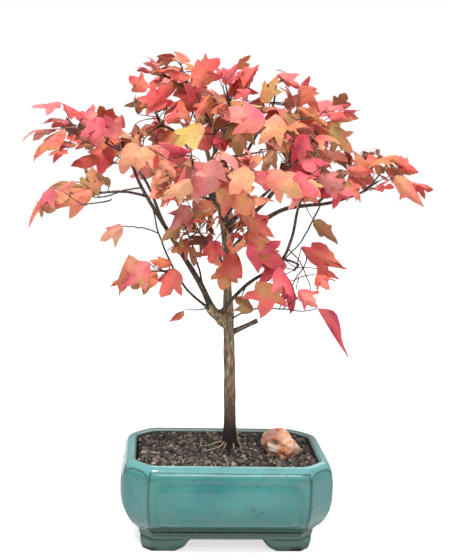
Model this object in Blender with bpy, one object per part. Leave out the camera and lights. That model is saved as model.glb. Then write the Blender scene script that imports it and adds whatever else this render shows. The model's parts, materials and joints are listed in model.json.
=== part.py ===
"""Trident maple bonsai, about 600 mm tall, in a glazed rectangular pot with cut corners.

The trunk, each bough, each mass of leaves, the pot, the soil and the stone are solids of their own.
Sizes and places below are in millimetres in the plant's own frame: X to the viewer's right, Y away
from the viewer, Z up from the table, with the pot's middle at X = 0, Y = 0. The meshes are written in
metres, moved by PLANT_SHIFT so that the origin lies under the middle of the whole plant.
"""
import math
import random
from collections import namedtuple
from itertools import product

import bmesh
import bpy
import numpy as np
from mathutils.bvhtree import BVHTree
from mathutils.geometry import delaunay_2d_cdt

METRES = 0.001
PLANT_SHIFT = np.array((5.0, -3.5, 0.0))
CLEAR = 0.3

# The pot, outside sizes
POT_WIDTH = 254.0
POT_DEPTH = 184.0
POT_CORNER = 30.0
POT_HEIGHT = 112.5
FOOT_HEIGHT = 18.0
FOOT_WALL = 14.0
FOOT_INSET = 30.0
# How far the short sides and the cut corners of the feet stand out past an even outline
FOOT_BULGE = 4.5
# How far each level of the pot's outer face stands in from its widest outline, and how far the short
# sides and the cut corners bulge past that: (height, inset, bulge)
POT_OUTSIDE = (
    (FOOT_HEIGHT, 22.5, 0.0), (23.5, 21.3, 0.2), (25.5, 22.6, 1.6), (28.0, 25.2, 5.7), (30.0, 24.8, 7.8),
    (31.6, 20.5, 5.5), (34.0, 15.5, 3.2), (40.0, 8.8, 0.6), (46.0, 5.0, 0.0), (53.0, 2.5, 0.0),
    (65.0, 0.3, 0.0), (82.0, 0.0, 0.0), (100.0, 0.6, 0.0), (105.0, 2.4, 0.0), (106.4, 3.4, 0.0),
    (107.6, 2.2, 0.0), (110.5, 5.0, 0.0), (112.2, 9.5, 0.0), (POT_HEIGHT, 13.2, 0.0),
)
POT_INSIDE = ((111.6, 15.0), (100.0, 17.5), (60.0, 15.0), (46.0, 18.0), (38.0, 24.0), (30.0, 36.0))
# The arch between two feet: half its span at the table and at its top, on the long and the short sides
ARCH_LONG = (63.0, 34.0)
ARCH_SHORT = (36.0, 20.0)
ARCH_STEPS = 5
ARCH_SCALLOP = 0.10
# How far the feet reach up into the body, how far they draw in to the table, how far cutters run past
FOOT_LAP = 3.0
FOOT_DRAW = 3.0
CUT_PAST = 5.0

# The soil: its height at the pot's wall and the mound round the trunk
SOIL_EDGE = 109.0
SOIL_MOUND = 2.0
SOIL_SPREAD = (58.0, 46.0)
# The mound is cut off level under the trunk, where its curve would rise above this share
SOIL_CROWN = 1.12
# Into how many parts a long side, a short side and a cut corner of its edge are divided
SOIL_PARTS = (12, 7, 2)
SOIL_GAP = 0.5
# The points that shape its top: how far apart, how far from the edge, how low the hollows lie below the
# lumps, and how far from the trunk's and the stone's middle the ground stays without hollows
SOIL_STEP = 7.0
SOIL_MARGIN = 4.5
SOIL_HOLLOW = 1.7
SOIL_LEVEL = 20.0
# The kind of triangulation that keeps to the inside of its border
CDT_INSIDE = 1

# The stone on the soil: middle, half sizes, turn in degrees, how far it leans over a half height
STONE_AT = (67.0, -22.0)
STONE_HALF = (22.5, 17.0, 23.0)
STONE_TURN = 12.0
STONE_LEAN = -5.0
STONE_SIDES = 9
STONE_BUMPS = (0.10, 0.06)
# Its outline: height as a share of the half height, size as a share of the half width
STONE_LEVELS = ((-0.62, 0.60), (-0.35, 0.93), (0.1, 1.0), (0.55, 0.82), (0.86, 0.45))

# The trunk: its line from the flat cut at the soil to its tip, and its radius at shares of its length
TRUNK_LINE = (
    (5, 0, SOIL_EDGE + SOIL_MOUND + CLEAR), (1, 0, 223), (-3, 0, 298), (-10, 0, 378), (-25, 0, 445),
    (-50, 0, 539),
)
TRUNK_RADII = ((0.0, 8.4), (0.1, 7.3), (0.38, 6.6), (0.46, 5.3), (0.62, 3.6), (1.0, 1.9))
TRUNK_FLARE = 4.6
TRUNK_RIDGE = 0.35
TRUNK_FOOT_LEVELS = (0.0, 2.5, 6.0, 12.0)
TRUNK_FLARE_HEIGHT = 6.0
TRUNK_ROOTS = 5
TRUNK_SIDES = 10
LIMB_SIDES = 5
LIMB_STEP = 26.0
LIMB_TAPER = 1.2

Limb = namedtuple("Limb", "name parent share line root tip")
# Each limb: the limb it grows from, how far along that, its bends and tip, its radius at root and tip
LIMBS = (
    Limb("knuckle", "trunk", 0.375, ((-19, -8, 283), (-28, -10, 294)), 8.5, 5.5),
    Limb("stub", "trunk", 0.335, ((33, -10, 275),), 3.3, 2.7),
    Limb(
        "left_bough", "knuckle", 0.75,
        ((-39, -14, 321), (-74, -22, 376), (-109, -34, 432), (-124, -38, 464)), 4.0, 1.6),
    Limb("left_low_bough", "left_bough", 0.79, ((-124, -46, 430), (-134, -54, 431)), 1.6, 1.3),
    Limb("left_back_bough", "left_bough", 0.60, ((-104, 8, 436), (-124, 34, 462)), 2.0, 1.5),
    Limb("low_left_bough", "knuckle", 0.60, ((-51, -30, 311), (-66, -41, 332)), 1.9, 1.4),
    Limb(
        "front_right_bough", "knuckle", 0.45,
        ((15, -36, 322), (53, -46, 352), (66, -48, 381), (71, -50, 412)), 2.5, 1.6),
    Limb("low_right_bough", "front_right_bough", 0.66, ((66, -55, 355), (74, -60, 352)), 1.6, 1.2),
    Limb("low_front_bough", "trunk", 0.53, ((-6, -20, 346), (-7, -36, 355)), 1.9, 1.4),
    Limb("back_bough", "trunk", 0.55, ((-4, 45, 388), (-2, 76, 404)), 2.9, 1.7),
    Limb(
        "right_bough", "trunk", 0.56,
        ((27, 2, 388), (64, 2, 412), (115, 2, 420), (148, -1, 431)), 3.6, 1.8),
    Limb("right_back_bough", "right_bough", 0.72, ((128, 26, 438), (140, 42, 450)), 1.9, 1.4),
    Limb("right_upper_bough", "trunk", 0.62, ((31, 12, 410), (61, 14, 446), (88, 16, 485)), 3.2, 1.7),
    Limb("back_right_bough", "trunk", 0.64, ((40, 45, 424), (66, 74, 446)), 2.7, 1.6),
    Limb("front_bough", "trunk", 0.66, ((-4, -38, 416), (2, -74, 440)), 2.6, 1.6),
    Limb("top_right_bough", "trunk", 0.69, ((7, 8, 463), (32, 8, 512)), 2.6, 1.6),
    Limb("back_left_bough", "trunk", 0.70, ((-40, 42, 440), (-58, 72, 456)), 2.6, 1.6),
    Limb("left_front_bough", "trunk", 0.73, ((-38, -42, 440), (-52, -70, 450)), 2.5, 1.5),
    Limb("back_top_bough", "trunk", 0.78, ((-20, 40, 480), (-8, 68, 504)), 2.3, 1.5),
    Limb("top_bough", "trunk", 0.82, ((-17, 9, 497), (-11, 11, 519)), 2.1, 1.5),
    Limb("left_crown_bough", "trunk", 0.86, ((-62, -12, 494), (-76, -17, 503)), 1.9, 1.4),
    Limb("left_middle_bough", "trunk", 0.50, ((-22, -14, 366), (-34, -26, 376)), 2.0, 1.4),
    Limb("right_front_bough", "right_upper_bough", 0.50, ((62, -18, 458), (62, -34, 478)), 2.0, 1.4),
    Limb("top_front_bough", "trunk", 0.76, ((-26, -20, 466), (-28, -38, 486)), 2.1, 1.4),
)

Mass = namedtuple("Mass", "name limb middle reach leaves seed")
# Each mass of leaves: the limb that carries it, its middle and reach each way, its seeded leaves, its seed
MASSES = (
    Mass("leaves_left_high", "left_bough", (-178, -35, 502), (60, 42, 34), 8, 67),
    Mass("leaves_left_low", "left_low_bough", (-176, -68, 428), (56, 38, 28), 5, 65),
    Mass("leaves_left_back", "left_back_bough", (-150, 66, 486), (42, 42, 32), 8, 20),
    Mass("leaves_left_crown", "left_crown_bough", (-104, -25, 512), (40, 46, 46), 8, 47),
    Mass("leaves_top_left", "trunk", (-66, 0, 561), (46, 46, 36), 9, 66),
    Mass("leaves_top", "top_bough", (-8, 6, 556), (36, 48, 36), 9, 39),
    Mass("leaves_top_right", "top_right_bough", (52, 5, 540), (36, 44, 38), 8, 35),
    Mass("leaves_right_high", "right_upper_bough", (110, 14, 514), (38, 46, 42), 8, 64),
    Mass("leaves_left_front", "left_front_bough", (-70, -106, 468), (44, 44, 44), 9, 67),
    Mass("leaves_front", "front_bough", (2, -118, 464), (44, 44, 46), 9, 3),
    Mass("leaves_right_middle", "front_right_bough", (84, -66, 456), (46, 48, 42), 9, 36),
    Mass("leaves_right_far", "right_bough", (184, -6, 455), (42, 40, 32), 6, 13),
    Mass("leaves_right_back", "right_back_bough", (165, 76, 470), (42, 40, 32), 8, 43),
    Mass("leaves_low_right", "low_right_bough", (66, -64, 342), (48, 38, 40), 5, 30),
    Mass("leaves_low_left", "low_left_bough", (-98, -54, 345), (44, 36, 30), 4, 66),
    Mass("leaves_low_front", "low_front_bough", (-6, -72, 382), (44, 34, 38), 7, 68),
    Mass("leaves_back_left", "back_left_bough", (-84, 112, 478), (52, 50, 44), 10, 68),
    Mass("leaves_back_top", "back_top_bough", (3, 108, 528), (52, 50, 40), 10, 14),
    Mass("leaves_back_right", "back_right_bough", (96, 112, 476), (52, 50, 44), 10, 66),
    Mass("leaves_back_low", "back_bough", (-2, 128, 424), (52, 48, 42), 10, 55),
    Mass("leaves_left_middle", "left_middle_bough", (-54, -46, 396), (44, 42, 42), 8, 23),
    Mass("leaves_right_front", "right_front_bough", (62, -66, 512), (40, 42, 36), 8, 40),
    Mass("leaves_top_front", "top_front_bough", (-30, -66, 520), (42, 42, 36), 8, 11),
)

Lead = namedtuple("Lead", "foot way lean length width roll")
# Leaves that give the crown its outline: foot of the blade, direction of the middle lobe as seen from
# the front (0 right, 90 up), lean towards the viewer, length, width as a share of it, turn of the face
LEADS = (
    Lead((-205, -40, 530), 188, 20, 35, 0.75, 40),
    Lead((-203, -25, 529), 337, 10, 33, 0.6, -55),
    Lead((-200, -45, 501), 215, 10, 49, 0.6, 35),
    Lead((-161, -55, 515), 265, 15, 33, 1.15, 0),
    Lead((-140, -50, 482), 202, 15, 58, 0.7, 20),
    Lead((-173, -75, 433), 197, 15, 73, 0.8, 0),
    Lead((-172, -60, 435), 167, 5, 50, 0.5, 25),
    Lead((-167, -70, 426), 87, 10, 31, 0.9, 10),
    Lead((-132, -60, 392), 202, 15, 28, 1.1, 20),
    Lead((-103, -30, 527), 46, 15, 37, 0.9, 25),
    Lead((-83, -45, 537), 167, 10, 36, 0.9, 30),
    Lead((-116, -50, 484), 229, 10, 35, 1.0, 10),
    Lead((-50, -15, 564), 158, 0, 56, 0.35, 40),
    Lead((-72, -35, 554), 168, 10, 38, 0.8, 35),
    Lead((-50, -20, 559), 50, 5, 39, 0.9, 10),
    Lead((-16, 0, 559), 59, 5, 31, 0.8, 10),
    Lead((8, 10, 556), 56, 0, 39, 0.5, 20),
    Lead((30, -5, 539), 67, 10, 40, 0.8, -25),
    Lead((47, -5, 572), 325, 10, 34, 0.7, 35),
    Lead((74, -10, 559), 307, 10, 35, 0.8, 20),
    Lead((113, 10, 523), 355, 0, 40, 0.5, 35),
    Lead((112, -10, 511), 314, 10, 41, 0.9, 15),
    Lead((200, 0, 479), 191, 10, 38, 0.6, 35),
    Lead((132, -20, 460), 2, 10, 34, 0.65, 20),
    Lead((193, -20, 454), 312, 15, 56, 0.9, 5),
    Lead((196, -5, 475), 331, 5, 43, 0.7, 25),
    Lead((128, -55, 447), 195, 10, 35, 1.1, 5),
    Lead((128, -45, 448), 318, 10, 29, 0.9, -10),
    Lead((92, -45, 403), 313, 5, 43, 0.6, 25),
    Lead((75, -70, 374), 335, 10, 61, 0.65, 10),
    Lead((39, -80, 332), 259, 10, 42, 1.15, 0),
    Lead((23, -50, 294), 136, 10, 26, 0.9, 10),
    Lead((99, -60, 301), 301, 0, 65, 0.5, 10),
    Lead((14, -80, 378), 327, 10, 48, 0.9, 5),
    Lead((-69, -60, 343), 240, 10, 36, 0.9, 5),
    Lead((-74, -50, 350), 171, 10, 26, 0.9, 15),
    Lead((-102, -65, 352), 221, 10, 43, 0.9, 15),
    Lead((-11, -60, 348), 262, 10, 28, 1.1, 5),
    Lead((-25, -70, 379), 264, 10, 26, 1.1, 5),
    Lead((6, -85, 413), 325, 10, 45, 0.75, 5),
    Lead((-48, -135, 470), 265, 15, 40, 1.1, 5),
    Lead((-59, -125, 482), 160, 10, 35, 0.6, 20),
    Lead((-23, -120, 447), 317, 15, 45, 1.0, 5),
    Lead((11, -110, 456), 345, 10, 39, 0.7, 25),
)

# Openings where sky shows through the crown, seen from EYE and measured on the plane Y = 0: (x, z, radius)
EYE = np.array((-99.0, -1265.0, 507.0))
OPENINGS = (
    (-122, 418, 26), (-92, 402, 20), (19, 448, 12), (66, 396, 13), (88, 366, 10), (178, 410, 12),
    (22, 560, 9), (-175, 466, 14), (-60, 330, 12), (-34, 318, 9),
)

# The rule of growth: twigs
TWIG_STEP = 30.0
TWIG_BENDS = (0.30, 0.34)
TWIG_MOST_STRETCHES = 2
TWIG_RADIUS = 0.62
TWIG_SWELL = 0.40
TWIG_MOST = 1.5
TWIG_SIDES = 3
TWIG_CLEAR = 2.2
TWIG_CHECKS = (0.25, 0.5, 0.75, 1.0)
TWIG_TAPER = 0.8
ROOT_SINK = 0.4
STALK_RADIUS = 0.75
STALK_ROOM = 1.3
STEM_SHARE = 0.75
STEM_FREE = 3.0
STEM_SQUARE = 2.0
# What makes a joint dear: its run from the stem, a twig that would turn back, one that would be too short
RUN_COST = 0.3
BACK_COST = 25.0
SHORT_TWIG = 8.0
SHORT_COST = 200.0
JOINT_CHOICES = 8
# The rule of growth: leaves
MIDDLE_OF_CROWN = np.array((0.0, 0.0, 400.0))
CROWN_SQUASH = (1.0, 1.0, 0.8)
LEAF_LENGTH = (31.0, 45.0)
LEAF_WIDTH = (0.85, 1.1)
LEAF_THICK = 0.03
LEAF_THINNEST = 1.0
LEAF_KEEL = 1.2
LEAF_TRIES = 36
LEAF_SHRINK = 0.35
SPOT_TRIES = 30
FOOT_REACH = 0.85
FOOT_SPREAD = 0.15
SPOT_MARGIN = 4.0
LEAF_REACH = 1.42
LEAF_PULLS = (0.45, 0.5, 0.6)
LEAF_DROP = (0.1, 0.8)
FACE_PULLS = (0.6, 0.7)
FACE_RISE = (0.2, 0.9)
LEAD_RISE = 0.25
LEAD_DEPTH_STEP = 10.0
LEAD_DEPTH_STEPS = 5
# A leaf's outline: across as a share of its width, along as a share of its length
BLADE = (
    (-0.03, 0.0), (-0.36, 0.20), (-0.50, 0.64), (-0.20, 0.66), (0.0, 1.0), (0.20, 0.66), (0.50, 0.64),
    (0.36, 0.20), (0.03, 0.0),
)
BLADE_MIDDLE = 0.45
BLADE_BOW = 0.12
BLADE_FOLD = 0.30
CELL_MARGIN = 0.4
LIMB_MARGIN = 1.6

Leaf = namedtuple("Leaf", "foot along face length width")


def unit(vector):
    """The vector at length 1."""
    return vector / np.linalg.norm(vector)


def square_to(vector, axis):
    """The part of the vector at right angles to the axis, at length 1."""
    return unit(vector - axis * float(vector @ axis))


def turned(vector, axis, degrees):
    """The vector turned about an axis that stands at right angles to it."""
    angle = math.radians(degrees)
    return vector * math.cos(angle) + np.cross(axis, vector) * math.sin(angle)


def smooth_line(points, step):
    """A Catmull-Rom curve through the points, with a point about every step."""
    points = np.array(points, float)
    ends = np.vstack((2 * points[0] - points[1], points, 2 * points[-1] - points[-2]))
    line = [points[0]]
    for before, a, b, after in zip(ends, ends[1:], ends[2:], ends[3:]):
        count = max(1, round(float(np.linalg.norm(b - a)) / step))
        for t in np.arange(1, count + 1) / count:
            bend = (2 * before - 5 * a + 4 * b - after) * t * t + (3 * a - before - 3 * b + after) * t ** 3
            line.append(0.5 * (2 * a + (b - before) * t + bend))
    return np.array(line)


def shares(line):
    """How far along the line each of its points is, from 0 to 1."""
    run = np.concatenate(([0.0], np.cumsum(np.linalg.norm(np.diff(line, axis=0), axis=1))))
    return run / run[-1]


def point_at(line, share):
    """The point a given share of the way along the line."""
    return np.array([np.interp(share, shares(line), line[:, axis]) for axis in range(3)])


def loft(rings):
    """Corners and faces of a closed solid through rings of equally many points, with flat ends."""
    count = len(rings[0])
    faces = [list(range(count))[::-1]]
    for level in range(len(rings) - 1):
        low = level * count
        for k in range(count):
            after = (k + 1) % count
            faces.append([low + k, low + after, low + count + after, low + count + k])
    faces.append([(len(rings) - 1) * count + k for k in range(count)])
    return np.vstack(rings), faces


def tube(line, radii, sides, shape=None):
    """A tube of the given radii carried along the line; shape(k, angles) may change a ring's radius."""
    tangents = np.gradient(line, axis=0)
    across = square_to(np.array((1.0, 0.1, 0.0)), unit(tangents[0]))
    angles = np.arange(sides) * 2 * math.pi / sides
    rings = []
    for k, (point, tangent, radius) in enumerate(zip(line, tangents, radii)):
        forward = unit(tangent)
        across = square_to(across, forward)
        beside = np.cross(forward, across)
        reach = radius if shape is None else radius + shape(k, angles)
        ring = np.outer(np.cos(angles) * reach, across) + np.outer(np.sin(angles) * reach, beside)
        rings.append(point + ring)
    return loft(rings)


def limb_radii(limb, line):
    """The limb's radius along its line: an even taper, quicker near the root."""
    return limb.tip + (limb.root - limb.tip) * (1 - shares(line)) ** LIMB_TAPER


def trunk_tube(extra=0.0):
    """The trunk: its taper, and a flare with low root ridges just above the flat cut."""
    start = np.array(TRUNK_LINE[0], float)
    rise = np.array((0.0, 0.0, 1.0))
    foot = [start + rise * height for height in TRUNK_FOOT_LEVELS]
    line = np.vstack((foot[:-1], smooth_line([foot[-1]] + list(TRUNK_LINE[1:]), LIMB_STEP)))
    stations, sizes = zip(*TRUNK_RADII)
    radii = np.interp(shares(line), stations, sizes) + extra
    heights = line[:, 2] - start[2]

    def ridges(k, angles):
        flare = TRUNK_FLARE * math.exp(-heights[k] / TRUNK_FLARE_HEIGHT)
        return flare * (1 - TRUNK_RIDGE + TRUNK_RIDGE * np.cos(TRUNK_ROOTS * angles))

    return line, tube(line, radii, TRUNK_SIDES, ridges)


def limb_lines():
    """Each limb's line by name, from the middle of the limb that it grows from."""
    lines = {"trunk": trunk_tube()[0]}
    for limb in LIMBS:
        start = point_at(lines[limb.parent], limb.share)
        lines[limb.name] = smooth_line([start] + list(limb.line), LIMB_STEP)
    return lines


def limb_tube(limb, line, extra=0.0):
    """A limb as a plain tapering tube, thicker by extra."""
    return tube(line, limb_radii(limb, line) + extra, LIMB_SIDES)


def tree_of(solids):
    """A search tree of many solids' faces."""
    corners = []
    faces = []
    for points, polygons in solids:
        faces.extend([[index + len(corners) for index in polygon] for polygon in polygons])
        corners.extend(points.tolist())
    return BVHTree.FromPolygons(corners, faces)


def cell_walls(mass):
    """The flat walls of a mass's own space, one towards each other mass: their points and outward ways."""
    middle = np.array(mass.middle, float)
    walls = []
    for other in MASSES:
        if other.name == mass.name:
            continue
        apart = np.array(other.middle, float) - middle
        distance = float(np.linalg.norm(apart))
        outward = apart / distance
        own = 1 / np.linalg.norm(outward / np.array(mass.reach))
        its = 1 / np.linalg.norm(outward / np.array(other.reach))
        place = distance / 2 + (own ** 2 - its ** 2) / (2 * distance)
        walls.append((middle + outward * (place - CELL_MARGIN), outward))
    return np.array([wall[0] for wall in walls]), np.array([wall[1] for wall in walls])


def in_cell(walls, points, margin=0.0):
    """Whether all points lie inside the walls of a mass's own space, by at least the margin."""
    spots, outward = walls
    return bool(np.all(((points[:, None] - spots) * outward).sum(axis=2) < -margin))


def seen_from_front(points):
    """Where the lines from the eye through the points cross the plane Y = 0, as X and Z."""
    rays = points - EYE
    return (EYE + rays * (-EYE[1] / rays[:, 1])[:, None])[:, (0, 2)]


def blade_points(leaf):
    """The blade's outline, bowed along its length and dropping to both sides, then its middle."""
    side = np.cross(leaf.along, leaf.face)
    outline = np.array(BLADE + ((0.0, BLADE_MIDDLE),))
    lift = -BLADE_BOW * outline[:, 1] ** 2 - BLADE_FOLD * outline[:, 0] ** 2
    return (
        leaf.foot + side * (outline[:, :1] * leaf.length * leaf.width)
        + leaf.along * (outline[:, 1:] * leaf.length) + leaf.face * (lift * leaf.length)[:, None]
    )


def lead_leaf(lead, depth):
    """The leaf that a row of LEADS describes, moved by depth along the line of sight."""
    way, lean = math.radians(lead.way), math.radians(lead.lean)
    along = np.array((math.cos(way) * math.cos(lean), -math.sin(lean), math.sin(way) * math.cos(lean)))
    face = turned(square_to(np.array((0.0, -1.0, LEAD_RISE)), along), along, lead.roll)
    foot = np.array(lead.foot, float)
    return Leaf(foot + unit(foot - EYE) * depth, along, face, float(lead.length), lead.width)


def leads_by_mass():
    """Hands each leaf of LEADS to the mass whose walls hold it at the least change of depth."""
    steps = sorted(range(-LEAD_DEPTH_STEPS, LEAD_DEPTH_STEPS + 1), key=lambda step: (abs(step), -step))
    walls = {mass.name: cell_walls(mass) for mass in MASSES}
    found = {mass.name: [] for mass in MASSES}
    for lead in LEADS:
        for step, mass in product(steps, MASSES):
            leaf = lead_leaf(lead, step * LEAD_DEPTH_STEP)
            if in_cell(walls[mass.name], blade_points(leaf)):
                found[mass.name].append(leaf)
                break
    return found


def twig_rings(line, radii, side):
    """Three-cornered rings along a line, turned so that the last one has its flat side along side."""
    tangents = np.gradient(line, axis=0)
    rings = []
    for point, tangent, radius in zip(line[::-1], tangents[::-1], radii[::-1]):
        forward = unit(tangent)
        side = square_to(side, forward)
        above = np.cross(side, forward)
        flat = point + above * radius / 2
        rings.append(np.array((flat - side * radius, flat + side * radius, point - above * radius)))
    return rings[::-1]


def leaf_solid(leaf, line, radii):
    """A twig and its leaf in one: a thin lens over the blade's outline, its foot run back along the twig."""
    side = np.cross(leaf.along, leaf.face)
    points = blade_points(leaf)
    outline = points[:-1]
    half = leaf.face * (max(LEAF_THICK * leaf.length, LEAF_THINNEST) / 2)
    keel = leaf.foot - leaf.face * LEAF_KEEL
    rings = twig_rings(line, radii, side)[:-1]
    corners = np.vstack([outline, points[-1] + half, points[-1] - half, keel] + rings[::-1])
    count = len(outline)
    top, under, below = range(count, count + 3)
    faces = [[k, (k + 1) % count, top] for k in range(count)]
    faces += [[k + 1, k, under] for k in range(count - 1)]
    faces += [[0, below, under], [below, count - 1, under]]
    ring = [0, count - 1, below]
    for level in range(len(rings)):
        after = [below + 1 + level * 3 + k for k in range(3)]
        for a, b in ((0, 1), (1, 2), (2, 0)):
            faces.append([ring[b], ring[a], after[a], after[b]])
        ring = after
    faces.append(ring)
    return corners, faces


def blade_faces(leaf):
    """The blade alone, as corners and faces, for finding what it would touch."""
    points = blade_points(leaf)
    count = len(points) - 1
    return points, [[k, (k + 1) % count, count] for k in range(count)]


def twig_line(start, heading, goal, arrival):
    """A twig's line: it leaves along the older twig, bends, and arrives along its leaf."""
    length = float(np.linalg.norm(goal - start))
    first = start + heading * length * TWIG_BENDS[0]
    second = goal - arrival * length * TWIG_BENDS[1]
    count = min(TWIG_MOST_STRETCHES, max(1, round(length / TWIG_STEP)))
    t = (np.arange(count + 1) / count)[:, None]
    rest = 1 - t
    return start * rest ** 3 + first * 3 * t * rest ** 2 + second * 3 * t ** 2 * rest + goal * t ** 3


class Crown:
    """Grows the twigs and leaves of one mass after another, each in its own space."""

    def __init__(self, lines):
        self.lines = lines
        solids = [trunk_tube()[1]] + [limb_tube(limb, lines[limb.name]) for limb in LIMBS]
        self.limbs = tree_of(solids)
        self.leads = leads_by_mass()

    def clear_of_limbs(self, points, distance):
        """Whether every point keeps its distance from the limbs."""
        return all(self.limbs.find_nearest(point.tolist(), distance)[0] is None for point in points)

    def some_direction(self):
        """A random direction, even on all sides."""
        return unit(np.array([self.random.gauss(0, 1) for _ in range(3)]))

    def add_stem(self, mass):
        """The mass's stem: from just past its limb's tip towards the mass's middle."""
        line = self.lines[mass.limb]
        heading = unit(line[-1] - line[-2])
        start = line[-1] + heading * CLEAR
        middle = np.array(mass.middle, float)
        goal = start * (1 - STEM_SHARE) + middle * STEM_SHARE
        self.start = start
        self.twigs = []
        line = twig_line(start, heading, goal, unit(middle - start))
        self.keep_twig(None, line, None)
        # A short straight piece keeps the stem's end square to the limb's tip
        self.twigs[0] = (np.insert(line, 1, start + heading * STEM_SQUARE, axis=0), None, None)

    def keep_twig(self, parent, line, leaf):
        """Files a twig; younger ones may grow from the middle of each stretch, except of a short one."""
        number = len(self.twigs)
        self.twigs.append((line, parent, leaf))
        if leaf is not None and len(line) == 2:
            return
        for before, after in zip(line[:-1], line[1:]):
            middle = (before + after) / 2
            run = float(np.linalg.norm(middle - self.start))
            self.joints.append((middle, unit(after - before), run, number))

    def spots(self, mass, taken):
        """Leaf feet spread through the mass: each is the farthest of several tries from those before it."""
        found = []
        for _ in range(mass.leaves):
            tries = []
            for _ in range(SPOT_TRIES):
                out = self.some_direction() * self.random.uniform(FOOT_SPREAD, 1.0) ** 0.5 * FOOT_REACH
                spot = np.array(mass.middle) + out * np.array(mass.reach)
                if in_cell(self.walls, spot[None], SPOT_MARGIN):
                    gaps = [float(np.linalg.norm(spot - other)) for other in taken + found]
                    tries.append((min(gaps or [0.0]), spot.tolist()))
            if tries:
                found.append(np.array(max(tries)[1]))
        return found

    def seeded_leaf(self, foot, size):
        """A leaf of the crown: its tip hangs outwards and its face looks out and up."""
        pick = self.random
        out = unit((foot - MIDDLE_OF_CROWN) * CROWN_SQUASH)
        away = unit(foot - self.start)
        pulls = away * LEAF_PULLS[0] + out * LEAF_PULLS[1] + self.some_direction() * LEAF_PULLS[2]
        along = unit(pulls - np.array((0.0, 0.0, pick.uniform(*LEAF_DROP))))
        rise = np.array((0.0, 0.0, pick.uniform(*FACE_RISE)))
        face = square_to(out * FACE_PULLS[0] + rise + self.some_direction() * FACE_PULLS[1], along)
        return Leaf(foot, along, face, pick.uniform(*LEAF_LENGTH) * size, pick.uniform(*LEAF_WIDTH))

    def blade_fits(self, mass, leaf, lead):
        """A blade's search tree if it keeps to its space and touches nothing, else None."""
        corners, faces = blade_faces(leaf)
        if not in_cell(self.walls, corners) or not self.clear_of_limbs(corners, LIMB_MARGIN):
            return None
        if not lead:
            inside = np.linalg.norm((corners - mass.middle) / np.array(mass.reach), axis=1)
            if inside.max() > LEAF_REACH:
                return None
            seen = seen_from_front(corners)
            if any((np.hypot(seen[:, 0] - x, seen[:, 1] - z) < size).any() for x, z, size in OPENINGS):
                return None
        blade = BVHTree.FromPolygons(corners.tolist(), faces)
        others = [self.limbs] + self.placed_twigs + self.placed_blades
        if any(blade.overlap(other) for other in others):
            return None
        return blade

    def twig_to(self, leaf):
        """The best twig from an older one to the leaf's foot, or None where each would touch something."""
        costs = []
        for number, (point, heading, run, _) in enumerate(self.joints):
            reach = leaf.foot - point
            distance = float(np.linalg.norm(reach))
            back = BACK_COST if reach @ heading < 0 else 0
            short = SHORT_COST if distance < SHORT_TWIG else 0
            costs.append((distance + RUN_COST * run + back + short, number))
        for _, number in sorted(costs)[:JOINT_CHOICES]:
            point, heading, _, _ = self.joints[number]
            line = twig_line(point, heading, leaf.foot, leaf.along)
            checks = np.vstack([line[:-1] + (line[1:] - line[:-1]) * part for part in TWIG_CHECKS])
            far = checks[np.linalg.norm(checks - self.start, axis=1) > STEM_FREE]
            if not in_cell(self.walls, checks) or not self.clear_of_limbs(far, TWIG_CLEAR):
                continue
            line[0] = line[0] - unit(line[1] - line[0]) * ROOT_SINK
            side = np.cross(leaf.along, leaf.face)
            rings = twig_rings(line, [STALK_RADIUS * STALK_ROOM] * len(line), side)
            twig = tree_of([loft(rings)])
            if any(twig.overlap(other) for other in self.placed_blades):
                continue
            return number, line, twig
        return None

    def add_leaf(self, mass, leaf, lead):
        """Adds the leaf and its twig if both fit."""
        blade = self.blade_fits(mass, leaf, lead)
        found = blade and self.twig_to(leaf)
        if not found:
            return False
        number, line, twig = found
        self.keep_twig(self.joints[number][3], line, leaf)
        self.placed_twigs.append(twig)
        self.placed_blades.append(blade)
        return True

    def twig_radii(self):
        """Each twig's radius at its root, from how many leaves it carries, and at its end."""
        load = [0 if leaf is None else 1 for _, _, leaf in self.twigs]
        for number in range(len(self.twigs) - 1, 0, -1):
            load[self.twigs[number][1]] += load[number]
        roots = [min(TWIG_RADIUS * max(count, 1) ** TWIG_SWELL, TWIG_MOST) for count in load]
        radii = []
        for root, (line, _, leaf) in zip(roots, self.twigs):
            end = STALK_RADIUS if leaf is not None else root * TWIG_TAPER
            radii.append(np.linspace(root, end, len(line)))
        return radii

    def grow(self, mass):
        """All twigs and leaves of one mass: the stem, the crown's outline leaves, then the seeded ones."""
        self.walls = cell_walls(mass)
        self.random = random.Random(mass.seed)
        self.joints = []
        self.placed_twigs = []
        self.placed_blades = []
        self.add_stem(mass)
        leads = sorted(self.leads[mass.name], key=lambda leaf: float(np.linalg.norm(leaf.foot - self.start)))
        for leaf in leads:
            self.add_leaf(mass, leaf, True)
        spots = self.spots(mass, [leaf.foot for leaf in leads])
        spots.sort(key=lambda spot: float(np.linalg.norm(spot - self.start)))
        for spot in spots:
            for attempt in range(LEAF_TRIES):
                size = 1 - LEAF_SHRINK * attempt / LEAF_TRIES
                if self.add_leaf(mass, self.seeded_leaf(spot, size), False):
                    break
        return [(line, radii, leaf) for (line, _, leaf), radii in zip(self.twigs, self.twig_radii())]


def in_metres(points):
    """Points of the plant's frame in the part's own frame."""
    return (np.asarray(points) + PLANT_SHIFT) * METRES


def finish(name, colour, roughness, metallic=0.0, coat=0.0):
    """A plain material with the surface's colour and gloss."""
    material = bpy.data.materials.new(name)
    material.use_nodes = True
    shader = material.node_tree.nodes["Principled BSDF"]
    shader.inputs["Base Color"].default_value = (*colour, 1.0)
    shader.inputs["Roughness"].default_value = roughness
    shader.inputs["Metallic"].default_value = metallic
    shader.inputs["Coat Weight"].default_value = coat
    return material


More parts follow.
